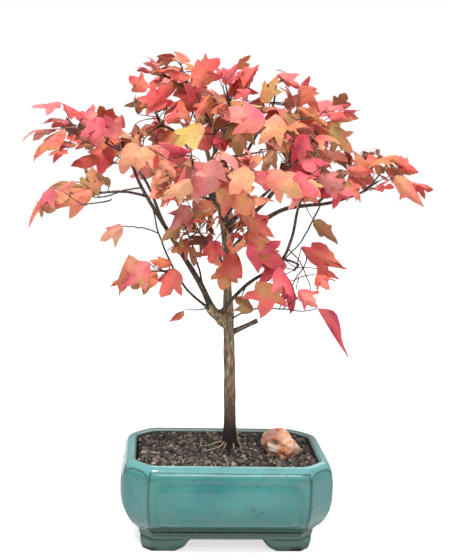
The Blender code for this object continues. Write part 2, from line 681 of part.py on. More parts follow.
def solid_object(name, solid, material=None, collection=None):
    """An object of one closed mesh with its faces pointing outwards."""
    corners, faces = solid
    mesh = bpy.data.meshes.new(name)
    mesh.from_pydata(in_metres(corners).tolist(), [], faces)
    shape = bmesh.new()
    shape.from_mesh(mesh)
    bmesh.ops.triangulate(shape, faces=shape.faces)
    bmesh.ops.recalc_face_normals(shape, faces=shape.faces)
    shape.to_mesh(mesh)
    shape.free()
    if material:
        mesh.materials.append(material)
    made = bpy.data.objects.new(name, mesh)
    (collection or bpy.context.scene.collection).objects.link(made)
    return made


def apply_modifiers(piece):
    """Replaces the object's mesh by what its modifiers make of it."""
    graph = bpy.context.evaluated_depsgraph_get()
    mesh = bpy.data.meshes.new_from_object(piece.evaluated_get(graph))
    piece.modifiers.clear()
    piece.data = mesh


def keep_main_body(piece):
    """Drops any loose scrap that a union or a cut leaves beside the main body."""
    shape = bmesh.new()
    shape.from_mesh(piece.data)
    shape.faces.ensure_lookup_table()
    bodies = []
    left = set(shape.faces)
    while left:
        wave = [left.pop()]
        body = []
        while wave:
            face = wave.pop()
            body.append(face)
            for edge in face.edges:
                for beside in edge.link_faces:
                    if beside in left:
                        left.remove(beside)
                        wave.append(beside)
        bodies.append(body)
    bodies.sort(key=len)
    for body in bodies[:-1]:
        bmesh.ops.delete(shape, geom=body, context="FACES")
    shape.to_mesh(piece.data)
    shape.free()


def boolean(piece, others, operation, solver="EXACT"):
    """One Boolean of the piece with a whole collection of solids, applied, and the collection removed."""
    helpers = bpy.data.collections.new(piece.name + "_helpers")
    bpy.context.scene.collection.children.link(helpers)
    for number, other in enumerate(others):
        helper = solid_object(f"{piece.name}_helper_{number}", other, None, helpers)
        helper.hide_render = True
        helper.display_type = "WIRE"
    modifier = piece.modifiers.new(operation.lower(), "BOOLEAN")
    modifier.operation = operation
    modifier.solver = solver
    modifier.operand_type = "COLLECTION"
    modifier.collection = helpers
    apply_modifiers(piece)
    for helper in list(helpers.objects):
        bpy.data.objects.remove(helper)
    bpy.data.collections.remove(helpers)
    keep_main_body(piece)


def corner_cut(inset, bulge=0.0):
    """How much of each corner is cut off where the pot's outline stands in by inset."""
    return POT_CORNER - (2 - math.sqrt(2)) * inset - (math.sqrt(2) - 1) * bulge


def cut_rectangle(inset, height, bulge=0.0):
    """A ring of the pot: its outline moved in by inset, at the height, with its corners cut off."""
    x, y = POT_WIDTH / 2 - inset + bulge, POT_DEPTH / 2 - inset
    cut = corner_cut(inset, bulge)
    corners = ((x, y - cut), (x - cut, y), (cut - x, y), (-x, y - cut))
    back = [(px, py, height) for px, py in corners]
    return np.array(back + [(-px, -py, height) for px, py, _ in back])


def arch(spans, along_x):
    """A cutter for the gap between two feet: an arch with a scalloped side, right through the pot's foot."""
    low, high = spans
    steps = np.arange(ARCH_STEPS + 1) / ARCH_STEPS
    curve = steps + ARCH_SCALLOP * np.sin(2 * math.pi * steps)
    side = [(low - (low - high) * share, FOOT_HEIGHT * step) for share, step in zip(curve, steps)]
    outline = [(low, -CUT_PAST)] + side
    outline += [(-x, z) for x, z in outline[::-1]]
    reach = POT_WIDTH
    rings = []
    for end in (-reach, reach):
        points = [(x, end, z) if along_x else (end, x, z) for x, z in outline]
        rings.append(np.array(points))
    return loft(rings)


def build_pot(material):
    """The pot: a hollow body with a rolled shoulder, and four feet left standing between arches."""
    outside = [cut_rectangle(inset, height, bulge) for height, inset, bulge in POT_OUTSIDE]
    inside = [cut_rectangle(inset, height) for height, inset in POT_INSIDE]
    pot = solid_object("pot", loft(outside + inside), material)
    wide = FOOT_INSET - FOOT_DRAW
    levels = ((0.0, FOOT_INSET), (FOOT_HEIGHT - FOOT_LAP, wide), (FOOT_HEIGHT + FOOT_LAP, wide))
    foot = solid_object("foot", loft([cut_rectangle(inset, z, FOOT_BULGE) for z, inset in levels]))
    well = FOOT_INSET + FOOT_WALL
    well_rings = [cut_rectangle(well, height) for height in (-CUT_PAST, FOOT_HEIGHT - FOOT_LAP)]
    boolean(foot, [loft(well_rings)], "DIFFERENCE")
    boolean(foot, [arch(ARCH_LONG, True)], "DIFFERENCE")
    boolean(foot, [arch(ARCH_SHORT, False)], "DIFFERENCE")
    modifier = pot.modifiers.new("feet", "BOOLEAN")
    modifier.operation = "UNION"
    modifier.object = foot
    apply_modifiers(pot)
    bpy.data.objects.remove(foot)
    keep_main_body(pot)


def soil_height(x, y):
    """The soil's surface: a low mound round the trunk on a level bed."""
    start = TRUNK_LINE[0]
    spread = (x - start[0]) ** 2 / SOIL_SPREAD[0] ** 2 + (y - start[1]) ** 2 / SOIL_SPREAD[1] ** 2
    return SOIL_EDGE + SOIL_MOUND * np.minimum(1.0, SOIL_CROWN * np.exp(-spread))


def divided(ring):
    """A ring of the soil with its sides divided evenly: cut corner, long side, cut corner, short side."""
    long_side, short_side, corner = SOIL_PARTS
    counts = (corner, long_side, corner, short_side) * 2
    sides = zip(ring, np.roll(ring, -1, axis=0), counts)
    return np.vstack([a + (b - a) * (np.arange(count) / count)[:, None] for a, b, count in sides])


def soil_points(inset):
    """Points inside the pot's outline on a grid of triangles; one in three, never two side by side, is a lump."""
    most = round(POT_WIDTH / SOIL_STEP)
    steps = np.arange(-most, most + 1)
    i, j = (grid.ravel() for grid in np.meshgrid(steps, steps))
    x = TRUNK_LINE[0][0] + SOIL_STEP * (i + j / 2)
    y = TRUNK_LINE[0][1] + SOIL_STEP * j * math.sqrt(3) / 2
    half_x, half_y = POT_WIDTH / 2 - inset, POT_DEPTH / 2 - inset
    inside = (np.abs(x) < half_x) & (np.abs(y) < half_y)
    inside &= np.abs(x) + np.abs(y) < half_x + half_y - corner_cut(inset)
    x, y, lump = x[inside], y[inside], ((i - j) % 3 == 0)[inside]
    for middle in (TRUNK_LINE[0], STONE_AT):
        lump |= np.hypot(x - middle[0], y - middle[1]) < SOIL_LEVEL
    return np.stack((x, y, soil_height(x, y) - SOIL_HOLLOW * ~lump), axis=1)


def build_soil(material):
    """The soil fills the pot: the pot's inside up to an edge, then triangles over the lumps of its top."""
    levels = [level for level in POT_INSIDE[::-1] if level[0] < SOIL_EDGE]
    rings = [divided(cut_rectangle(inset + SOIL_GAP, height + SOIL_GAP)) for height, inset in levels]
    inset = POT_INSIDE[1][1] + SOIL_GAP
    edge = divided(cut_rectangle(inset, SOIL_EDGE))
    corners, faces = loft(rings + [edge])
    faces.pop()
    top = np.vstack((edge, soil_points(inset + SOIL_MARGIN)))
    border = [list(range(len(edge)))]
    found = delaunay_2d_cdt(top[:, :2].tolist(), [], border, CDT_INSIDE, 0.0)
    triangles, origins = found[2:4]
    number = [len(rings) * len(edge) + origin[0] for origin in origins]
    faces.extend([[number[corner] for corner in triangle] for triangle in triangles])
    solid_object("soil", (np.vstack((corners, top[len(edge):])), faces), material)


def build_stone(material):
    """The stone: a rounded block with flats, resting on the soil."""
    turn = math.radians(STONE_TURN)
    rings = []
    for height, size in STONE_LEVELS:
        angles = np.arange(STONE_SIDES) * 2 * math.pi / STONE_SIDES + turn
        bumps = 1 + STONE_BUMPS[0] * np.sin(3 * angles + 2 * height) + STONE_BUMPS[1] * np.cos(5 * angles)
        x = np.cos(angles) * STONE_HALF[0] * size * bumps + STONE_LEAN * height
        y = np.sin(angles) * STONE_HALF[1] * size * bumps
        z = np.full(STONE_SIDES, height * STONE_HALF[2])
        rings.append(np.stack((x, y, z), axis=1))
    corners, faces = loft(rings)
    x, y = corners[:STONE_SIDES, 0] + STONE_AT[0], corners[:STONE_SIDES, 1] + STONE_AT[1]
    bed = soil_height(x, y).max() + CLEAR
    corners = corners + (STONE_AT[0], STONE_AT[1], bed - corners[:, 2].min())
    solid_object("stone", (corners, faces), material)


def build_limbs(lines, bark):
    """The trunk with its knuckle fused on, then each bough, cut to a saddle clear of what it grows from."""
    cutters = {"trunk": [trunk_tube(CLEAR)[1]]}
    trunk = solid_object("trunk", trunk_tube()[1], bark)
    for limb in LIMBS:
        line = lines[limb.name]
        cutters[limb.name] = cutters[limb.parent] + [limb_tube(limb, line, CLEAR)]
        if limb.name == "knuckle":
            boolean(trunk, [limb_tube(limb, line)], "UNION")
            continue
        bough = solid_object(limb.name, limb_tube(limb, line), bark)
        for cutter in cutters[limb.parent]:
            boolean(bough, [cutter], "DIFFERENCE")


def build_masses(lines, tints):
    """Each mass of leaves: its stem, twigs and leaves joined by one union."""
    crown = Crown(lines)
    for number, mass in enumerate(MASSES):
        stem, *twigs = crown.grow(mass)
        solids = [leaf_solid(leaf, line, radii) for line, radii, leaf in twigs]
        piece = solid_object(mass.name, tube(stem[0], stem[1], TWIG_SIDES), tints[number % len(tints)])
        boolean(piece, solids, "UNION", "MANIFOLD")


def main():
    for old in list(bpy.data.objects):
        bpy.data.objects.remove(old)
    glaze = finish("turquoise_glaze", (0.10, 0.42, 0.42), 0.15, coat=0.5)
    earth = finish("granular_soil", (0.07, 0.05, 0.035), 0.95)
    rock = finish("peach_stone", (0.75, 0.42, 0.25), 0.8)
    bark = finish("maple_bark", (0.22, 0.15, 0.10), 0.85)
    tints = [
        finish("coral_leaf", (0.80, 0.16, 0.12), 0.6), finish("crimson_leaf", (0.65, 0.05, 0.10), 0.6),
        finish("orange_leaf", (0.75, 0.27, 0.10), 0.6), finish("olive_leaf", (0.40, 0.22, 0.06), 0.6),
    ]
    lines = limb_lines()
    build_pot(glaze)
    build_soil(earth)
    build_stone(rock)
    build_limbs(lines, bark)
    build_masses(lines, tints)


main()
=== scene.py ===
"""Looks of the trident maple bonsai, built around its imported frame.

Sizes and places are in millimetres in the plant's own frame, as in the part's source: X to the viewer's
right, Y away from the viewer, Z up, with the pot's middle at X = 0, Y = 0. in_metres() moves them into
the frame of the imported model. Every piece is a surface worked out with numpy: a grid of rings carried
along a path, or many copies of one small outline placed by arrays.
"""
import json
import math
import random
from collections import namedtuple
from itertools import product

import bpy
import numpy as np
from mathutils import Matrix
from mathutils.bvhtree import BVHTree

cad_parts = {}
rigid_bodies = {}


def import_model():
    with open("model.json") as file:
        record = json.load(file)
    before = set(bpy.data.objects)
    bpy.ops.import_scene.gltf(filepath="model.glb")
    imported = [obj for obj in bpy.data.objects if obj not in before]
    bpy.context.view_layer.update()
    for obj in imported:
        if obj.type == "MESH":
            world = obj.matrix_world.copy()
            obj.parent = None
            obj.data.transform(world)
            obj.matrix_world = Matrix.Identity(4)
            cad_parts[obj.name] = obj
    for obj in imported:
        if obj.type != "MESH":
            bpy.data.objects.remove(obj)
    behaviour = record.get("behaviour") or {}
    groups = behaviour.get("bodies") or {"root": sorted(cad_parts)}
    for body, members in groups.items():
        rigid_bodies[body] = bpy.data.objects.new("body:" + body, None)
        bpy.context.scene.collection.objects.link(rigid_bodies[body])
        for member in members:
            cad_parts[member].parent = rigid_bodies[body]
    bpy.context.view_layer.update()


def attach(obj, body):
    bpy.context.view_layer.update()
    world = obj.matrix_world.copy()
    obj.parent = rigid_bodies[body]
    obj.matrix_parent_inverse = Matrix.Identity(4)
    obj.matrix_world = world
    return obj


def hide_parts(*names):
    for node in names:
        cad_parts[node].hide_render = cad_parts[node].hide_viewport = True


METRES = 0.001
PLANT_SHIFT = np.array((5.0, -3.5, 0.0))
CLEAR = 0.3
BODY = "root"

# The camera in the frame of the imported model, in metres, and the ways its picture's sides point
CAMERA_AT = (-0.094, -1.2685, 0.507)
CAMERA_RIGHT = (0.9972, -0.0672, 0.0314)
CAMERA_UP = (-0.0214, 0.1449, 0.9892)
CAMERA_BACK = (-0.071, -0.9872, 0.1431)
CAMERA_LENS = 67.4
# Soft lamps: name, place in metres, width and height in metres, power in watts
LAMPS = (
    ("key_lamp", (-0.6, -1.1, 2.4), (0.6, 0.6), 58.0),
    ("fill_lamp", (1.6, -0.9, 1.2), (1.6, 1.6), 7.0),
    ("back_lamp", (0.5, 1.8, 1.7), (1.6, 1.6), 14.0),
    ("strip_lamp", (0.12, -1.75, 1.55), (0.9, 0.22), 5.0),
)
SKY_STRENGTH = 1.0
SKY_LIGHT = 0.4
# How much the floor glows for the camera alone, so that it stays white to its far edge
FLOOR_GLOW = 0.66
FLOOR_HALF = 6.0
# The point that the lamps face, in metres
LAMPS_FACE = (0.0, 0.0, 0.3)

# The pot, outside sizes, as in the solids
POT_WIDTH = 254.0
POT_DEPTH = 184.0
POT_CORNER = 30.0
POT_HEIGHT = 112.5
FOOT_HEIGHT = 18.0
FOOT_WALL = 14.0
FOOT_INSET = 30.0
FOOT_DRAW = 3.0
FOOT_BULGE = 4.5
# The outer wall from its lower edge to the mouth: (height, inset from the widest outline, how far the
# short sides and the cut corners stand out past that)
POT_WALL = (
    (FOOT_HEIGHT, 23.4, 0.0), (19.0, 22.0, 0.1), (21.5, 21.3, 0.1), (23.8, 21.4, 0.3), (25.4, 22.6, 1.6),
    (27.0, 24.6, 4.5), (29.0, 25.2, 6.9), (30.4, 24.4, 7.5), (31.4, 21.6, 5.8), (32.6, 18.3, 4.6),
    (34.5, 15.0, 3.0), (40.0, 8.8, 0.6), (46.0, 5.0, 0.0), (53.0, 2.5, 0.0), (65.0, 0.4, 0.0),
    (82.0, 0.0, 0.0), (98.0, 0.5, 0.0), (104.0, 1.8, 0.0), (107.6, 3.4, 0.0), (110.2, 5.8, 0.0),
    (111.8, 9.0, 0.0), (112.4, 11.6, 0.0), (112.5, 13.4, 0.0), (112.1, 14.4, 0.0),
)
# The inside, from the mouth down: (height, inset), and how dark each of its first levels is: a dark line
# at the mouth's edge, then painted shade from about 109 mm down to the soil
POT_INSIDE = (
    (111.6, 14.9), (111.0, 15.0), (110.4, 15.1), (109.9, 15.2), (109.2, 15.4), (108.4, 15.6), (100.0, 17.5),
    (60.0, 15.0), (46.0, 18.0), (38.0, 24.0), (30.0, 36.0),
)
INSIDE_LINE_AND_SHADE = (0.45, 0.1, 0.0, 0.05, 0.55, 1.0, 1.0)
WALL_INSET = 17.5
WALL_HALF = (POT_WIDTH / 2 - WALL_INSET, POT_DEPTH / 2 - WALL_INSET)
WALL_STEP = 1.25
# Columns of the grid on a long side, a short side and a cut corner, which of these each side is, and how
# much the columns are drawn together towards the edges
SIDE_COLUMNS = (106, 70, 30)
SIDE_KINDS = (2, 0, 2, 1, 2, 0, 2, 1)
COLUMNS_DRAWN = 0.55
# How often each ring is smoothed, on the wall and at the rounder mouth, and between which heights it changes
EDGE_SOFTENING = 5
RIM_SOFTENING = 110
RIM_LEVELS = (88.0, 108.0)
# Raised panel: half length on the long and the short sides, its lower and upper edge, corner, height
PANEL_HALF = (85.0, 50.0)
PANEL_LEVELS = (34.0, 93.0)
PANEL_CORNER = 12.0
PANEL_RISE = 2.6
PANEL_EDGE = 8.5
# The dip round the panel: its depth, how far outside the edge it lies, its width
PANEL_DIP = (0.5, 1.5, 2.0)
# Grooves: depth, width, height of the one under the shoulder, how far it dips on a cut corner, height of
# the one above the feet, how far from a side's end the upright ones lie, width of the feet's dark line
GROOVE_DEPTH = 0.9
GROOVE_WIDTH = 0.95
GROOVE_LEVEL = 106.0
GROOVE_DIP = 7.0
GROOVE_FOOT = 30.6
GROOVE_SIDE = 1.6
FOOT_LINE_WIDTH = 1.6
# How dark the glaze is in a groove or a speck, along the foot line and at the mouth, and how wide there
GROOVE_DARK = 0.95
FOOT_LINE_DARK = 0.85
MOUTH_DARK = 0.9
MOUTH_WIDTH = 1.1
# How broken the dark lines are on the long sides: middle, swing, wavelengths, seed and least share
LINE_BREAKS = (0.55, 0.45, (38.0, 17.0), 9)
LINE_LEAST = 0.15
# The soft dark line round the panel, which painted shade deepens below the panel's middle: least, how
# much more below, over what height, how far out, width
PANEL_LINE_AND_SHADE = (0.12, 0.28, 20, 0.5, 2.6)
# How uneven the wall is, over which lengths, and the insets of the rings that close the pot below
WALL_WOBBLE = 0.35
WOBBLE_LENGTHS = (90.0, 47.0)
BASE_INSETS = (80.0, 60.0, 42.0, 30.0)
# Dark specks in the glaze: how many on the cut corners and on the sides, and their size
SPECK_SEED = 12
CORNER_SPECKS = 34
SIDE_SPECKS = 26
SPECK_SIZE = (0.7, 1.3)
# The arch between two feet: half its span at the table and at its top, on the long and the short sides,
# its scallop, the steps of its curve, and how far it rises past the pot's lower edge
ARCH_SPANS = ((63.0, 34.0), (36.0, 20.0))
ARCH_SCALLOP = 0.1
ARCH_STEPS = 60
ARCH_PAST = 1.5
# The feet: how round their lower edge is, and the level inside the pot at which they end
FOOT_ROUND = 1.6
FOOT_TOP = FOOT_HEIGHT + 2.0
# The feet's section, down the outer face, under and up the back: (height, inset, how bare, how dark)
FOOT_SECTION = (
    (FOOT_TOP, FOOT_INSET - FOOT_DRAW, 0.0, 0.0), (11.0, FOOT_INSET - FOOT_DRAW + 0.3, 0.0, 0.0),
    (7.0, FOOT_INSET - FOOT_DRAW + 1.2, 0.0, 0.0), (3.5, FOOT_INSET - 1.0, 0.0, 0.0),
    (FOOT_ROUND, FOOT_INSET - 0.2, 0.0, 0.0), (0.5, FOOT_INSET + 0.4, 0.6, 0.9),
    (0.0, FOOT_INSET + FOOT_ROUND, 1.0, 0.0), (0.0, FOOT_INSET + FOOT_WALL - FOOT_ROUND, 1.0, 0.0),
    (0.5, FOOT_INSET + FOOT_WALL, 1.0, 0.9), (FOOT_TOP, FOOT_INSET + FOOT_WALL + 1.0, 0.4, 0.0),
)
# Spots low on the front feet without glaze: their place along X, their width, how high they reach, and
# how steep their edge is with how much is taken off
BARE_SPOTS = ((-92.0, 9.0), (86.0, 9.0))
BARE_HEIGHT = 6.0
BARE_EDGE = (2.6, 0.3)

# The soil
SOIL_EDGE = 109.0
SOIL_MOUND = 2.0
SOIL_SPREAD = (58.0, 46.0)
SOIL_CROWN = 1.12
SOIL_GAP = 0.5
# Lumps of its top: the spacing of the points that shape it, how low the hollows lie below the lumps, and
# how far from the trunk's and the stone's middle the ground stays without hollows
SOIL_STEP = 7.0
SOIL_HOLLOW = 1.7
SOIL_LEVEL = 20.0
GRAIN_SPACING = 4.4
GRAIN_SHIFT = 2.4
GRAIN_SIZE = (1.9, 3.9)
GRAIN_STRETCH = (0.5, 1.4)
GRAIN_RISE = (-1.5, 1.0)
GRAIN_SINK = 0.4
GRAIN_CORNERS = 12
GRAIN_SEED = 21
# How far a grain's corners stray, and how close its middle comes to the wall, as shares of its size
GRAIN_STRAY = 0.28
GRAIN_ROOM = 0.8
# The bed: how far below the ground's level its top lies, its rings, the inmost ring's share of the way
# out, the height of its lumps and their wavelengths
BED_BELOW = 2.6
BED_RINGS = 30
BED_MIDDLE = 0.06
BED_LUMPS = 0.5
BED_LUMP_LENGTHS = (9.0, 5.0)
# The pot's levels up to this height are the bed's sides
BED_SIDES_TO = 100.0
# The share of the soil's step at which a hollow ends
HOLLOW_REACH = 0.95
# How much lower the soil lies at the wall, and how far from the wall that ends
EDGE_DROOP = 1.8
EDGE_WIDTH = 5.0

# The stone on the soil: its middle, its half sizes, how far it leans along X within half its height, and
# its lowest and highest level as shares of that
STONE_AT = (67.0, -22.0)
STONE_HALF = (22.5, 17.0, 23.0)
STONE_LEAN = -5.0
STONE_LOW = -0.62
STONE_HIGH = 0.86
# Its grid, its seed, how many flats cut it, how far out they lie, and how deep it sinks into the soil
STONE_GRID = (46, 72)
STONE_SEED = 12
STONE_FLATS = 11
STONE_FLATS_OUT = (0.8, 0.95)
STONE_SINK = 0.4
# Its flats: least facing, farthest out, and their share of the form
STONE_FACING_LEAST = 0.05
STONE_CUT_MOST = 1.15
STONE_CUT_SHARE = 0.75
# Its quartz: how steep its edge is with how much is taken off, how high it stands, how deep a dent lies
QUARTZ_EDGE = (2.2, 0.5)
QUARTZ_HIGH = 0.12
DENT_DEEP = 0.24
# How far to either side of its middle it rests on the soil
STONE_RESTS = 12.0
# Its lumps as shares of its size: (height, wavelengths, seed)
STONE_LUMPS = ((0.05, (0.9, 0.45), 3), (0.018, (0.2, 0.11), 4))
# Spots on the stone: the direction of each from its middle, and its width
STONE_SPOTS = {
    "quartz": ((-0.62, -0.78, -0.05), 0.34),
    "plum": ((-0.45, -0.45, 0.75), 0.6),
    "shaded_dent": ((-0.4, -0.85, 0.34), 0.2),
}

# The trunk: its line from the flat cut at the soil to its tip, and its radius at shares of its length
TRUNK_LINE = (
    (5, 0, SOIL_EDGE + SOIL_MOUND + CLEAR), (1, 0, 223), (-3, 0, 298), (-10, 0, 378), (-25, 0, 445),
    (-50, 0, 539),
)
TRUNK_RADII = ((0.0, 8.4), (0.1, 7.3), (0.38, 6.6), (0.46, 5.3), (0.62, 3.6), (1.0, 1.9))
TRUNK_FLARE = 4.6
TRUNK_RIDGE = 0.35
TRUNK_FOOT_LEVELS = (0.0, 2.5, 6.0, 12.0)
TRUNK_FLARE_HEIGHT = 6.0
TRUNK_ROOTS = 5
TRUNK_SIDES = 10
LIMB_SIDES = 5
LIMB_STEP = 26.0
LIMB_TAPER = 1.2
# Pale roots that show on the soil round the trunk's foot: how they sway, over which lengths, the seed of
# this, and of each its bends, radius at the trunk and at the end
ROOT_SWAY = 0.5
ROOT_SWAY_LENGTHS = (13.0, 7.0)
ROOT_SEED = 70
SURFACE_ROOTS = (
    (((-2, -4, 119), (-8, -7, 114.5), (-17, -10, 111.6), (-27, -12, 109.6)), 1.0, 0.6),
    (((1, -6, 122), (-1.5, -9, 116), (-5.7, -11.5, 109.5)), 1.2, 0.7),
    (((8, -6, 120), (9.6, -9, 115), (9.2, -12.5, 109.5)), 1.2, 0.8),
    (((9.6, -3, 147), (12.4, -4.5, 137), (14.6, -5.5, 126), (17.8, -6, 116), (20.5, -8, 109.8)), 0.8, 0.8),
    (((10, 3, 120), (18, 8, 113.6), (27, 13, 110)), 1.3, 0.7),
    (((-2, 4, 119), (-11, 11, 113.2), (-18, 17, 109.8)), 1.2, 0.7),
    (((4, 6, 120), (3, 14, 114), (5, 24, 110)), 1.3, 0.7),
)

# Bark of each: the step along it, its sides, the depth of its relief as a share of the radius, its seed
TRUNK_BARK = (1.6, 56, 0.075, 31)
KNUCKLE_BARK = (1.6, 44, 0.1, 41)
BOUGH_BARK = (2.4, 20, 0.07, 60)
STUB_BARK = (1.4, 26, 0.1, 51)
ROOT_BARK = (1.5, 12, 0.1, 80)
# Radius of the cylinder on which the bark's noise is read, how much that is drawn out along the limb, and
# the wavelengths of the fine noise, the broad noise and the noise that bends the rings
BARK_ROUND = 6
BARK_ALONG = 0.16
BARK_FINE = (4.5, 2.6)
BARK_BROAD = (14.0,)
BARK_BENT = (11.0,)
# The rings across it: height, turn per millimetre, turn of their groups, width of a group
BARK_RINGS = (0.4, 0.9, 0.11, 0.4)
# The shares of fine noise, broad noise and rings in its relief
BARK_SHARES = (0.7, 0.6, 0.4)
# How the knuckle swells along its run (how much, turn) and the stub at its end (how much, where, width)
KNUCKLE_SWELL = (0.05, 9)
STUB_SWELL = (0.16, 0.97, 0.1)
# The collar where a limb leaves another: its height as a share of the limb's root, where it begins to
# fall, in radii of the root, and how quickly it falls, in millimetres
COLLAR_RISE = 0.35
COLLAR_FROM = 1.1
COLLAR_FALL = 5.0
# How low the trunk's bark goes below its solid's foot
TRUNK_BELOW = 1.5

Limb = namedtuple("Limb", "name parent share line root tip")
# Each limb: the limb it grows from, how far along that, its bends and tip, its radius at root and tip
LIMBS = [Limb(*row) for row in (
    ("knuckle", "trunk", 0.375, ((-19, -8, 283), (-28, -10, 294)), 8.5, 5.5),
    ("stub", "trunk", 0.335, ((33, -10, 275),), 3.3, 2.7),
    ("left_bough", "knuckle", 0.75, ((-39, -14, 321), (-74, -22, 376), (-109, -34, 432), (-124, -38, 464)),
     4.0, 1.6),
    ("left_low_bough", "left_bough", 0.79, ((-124, -46, 430), (-134, -54, 431)), 1.6, 1.3),
    ("left_back_bough", "left_bough", 0.6, ((-104, 8, 436), (-124, 34, 462)), 2.0, 1.5),
    ("low_left_bough", "knuckle", 0.6, ((-51, -30, 311), (-66, -41, 332)), 1.9, 1.4),
    ("front_right_bough", "knuckle", 0.45, ((15, -36, 322), (53, -46, 352), (66, -48, 381), (71, -50, 412)),
     2.5, 1.6),
    ("low_right_bough", "front_right_bough", 0.66, ((66, -55, 355), (74, -60, 352)), 1.6, 1.2),
    ("low_front_bough", "trunk", 0.53, ((-6, -20, 346), (-7, -36, 355)), 1.9, 1.4),
    ("back_bough", "trunk", 0.55, ((-4, 45, 388), (-2, 76, 404)), 2.9, 1.7),
    ("right_bough", "trunk", 0.56, ((27, 2, 388), (64, 2, 412), (115, 2, 420), (148, -1, 431)), 3.6, 1.8),
    ("right_back_bough", "right_bough", 0.72, ((128, 26, 438), (140, 42, 450)), 1.9, 1.4),
    ("right_upper_bough", "trunk", 0.62, ((31, 12, 410), (61, 14, 446), (88, 16, 485)), 3.2, 1.7),
    ("back_right_bough", "trunk", 0.64, ((40, 45, 424), (66, 74, 446)), 2.7, 1.6),
    ("front_bough", "trunk", 0.66, ((-4, -38, 416), (2, -74, 440)), 2.6, 1.6),
    ("top_right_bough", "trunk", 0.69, ((7, 8, 463), (32, 8, 512)), 2.6, 1.6),
    ("back_left_bough", "trunk", 0.7, ((-40, 42, 440), (-58, 72, 456)), 2.6, 1.6),
    ("left_front_bough", "trunk", 0.73, ((-38, -42, 440), (-52, -70, 450)), 2.5, 1.5),
    ("back_top_bough", "trunk", 0.78, ((-20, 40, 480), (-8, 68, 504)), 2.3, 1.5),
    ("top_bough", "trunk", 0.82, ((-17, 9, 497), (-11, 11, 519)), 2.1, 1.5),
    ("left_crown_bough", "trunk", 0.86, ((-62, -12, 494), (-76, -17, 503)), 1.9, 1.4),
    ("left_middle_bough", "trunk", 0.5, ((-22, -14, 366), (-34, -26, 376)), 2.0, 1.4),
    ("right_front_bough", "right_upper_bough", 0.5, ((62, -18, 458), (62, -34, 478)), 2.0, 1.4),
    ("top_front_bough", "trunk", 0.76, ((-26, -20, 466), (-28, -38, 486)), 2.1, 1.4),
)]

Mass = namedtuple("Mass", "name limb middle reach leaves seed finer tints")
# Each mass of leaves: the limb that carries it unless that is the bough of like name, its middle and reach
# each way, its seeded leaves and seed as in its solid, how many finer leaves it gets between those, and the
# tints that it deals to its sprays
MASSES = [Mass("leaves_" + name, limb or name + "_bough", np.array(middle, float), np.array(reach), *rest)
          for name, limb, middle, reach, *rest in (
    ("left_high", "left_bough", (-178, -35, 502), (60, 42, 34), 8, 67, 3, "pink red coral rose"),
    ("left_low", "", (-176, -68, 428), (56, 38, 28), 5, 65, 4, "coral rose olive brown terracotta"),
    ("left_back", "", (-150, 66, 486), (42, 42, 32), 8, 20, 6, "coral red orange rose"),
    ("left_crown", "", (-104, -25, 512), (40, 46, 46), 8, 47, 9, "red coral orange red olive rose pink"),
    ("top_left", "trunk", (-66, 0, 561), (46, 46, 36), 9, 66, 8, "red orange pink coral rose red"),
    ("top", "", (-8, 6, 556), (36, 48, 36), 9, 39, 8, "red coral orange crimson rose terracotta"),
    ("top_right", "", (52, 5, 540), (36, 44, 38), 8, 35, 8, "coral red rose pink orange coral"),
    ("right_high", "right_upper_bough", (110, 14, 514), (38, 46, 42), 8, 64, 8,
     "orange coral red salmon pink olive"),
    ("left_front", "", (-70, -106, 468), (44, 44, 44), 9, 67, 9, "salmon mauve peach terracotta blush coral"),
    ("front", "", (2, -118, 464), (44, 44, 46), 9, 3, 9, "coral orange peach salmon blush terracotta"),
    ("right_middle", "front_right_bough", (84, -66, 456), (46, 48, 42), 9, 36, 8,
     "crimson pink salmon coral blush orange"),
    ("right_far", "right_bough", (184, -6, 455), (42, 40, 32), 6, 13, 4, "pink red coral coral crimson"),
    ("right_back", "", (165, 76, 470), (42, 40, 32), 8, 43, 7, "rose coral terracotta orange"),
    ("low_right", "", (66, -64, 342), (48, 38, 40), 5, 30, 1, "coral pink crimson coral"),
    ("low_left", "", (-98, -54, 345), (44, 36, 30), 4, 66, 0, "orange coral pink terracotta"),
    ("low_front", "", (-6, -72, 382), (44, 34, 38), 7, 68, 6, "coral crimson orange red coral"),
    ("back_left", "", (-84, 112, 478), (52, 50, 44), 10, 68, 9, "coral orange terracotta red olive rose"),
    ("back_top", "", (3, 108, 528), (52, 50, 40), 10, 14, 9, "coral orange pink brown yellow terracotta"),
    ("back_right", "", (96, 112, 476), (52, 50, 44), 10, 66, 9, "coral crimson orange terracotta salmon"),
    ("back_low", "back_bough", (-2, 128, 424), (52, 48, 42), 10, 55, 8, "orange olive coral terracotta rose"),
    ("left_middle", "", (-54, -46, 396), (44, 42, 42), 8, 23, 8, "olive brown mauve coral russet rose"),
    ("right_front", "", (62, -66, 512), (40, 42, 36), 8, 40, 8, "coral orange pink salmon olive terracotta"),
    ("top_front", "", (-30, -66, 520), (42, 42, 36), 8, 11, 9, "orange terracotta olive coral crimson brown"),
)]
# The finer leaves: their size, the most leaves of a mass without small ones deep inside, what is added to
# a mass's seed, and how many leaves of a spray have one tint
FINER_SIZE = 0.74
FEW_LEAVES = 6
FINER_SEED = 500
SPRAY_LEAVES = 3

Lead = namedtuple("Lead", "x y z way lean length width roll tint")
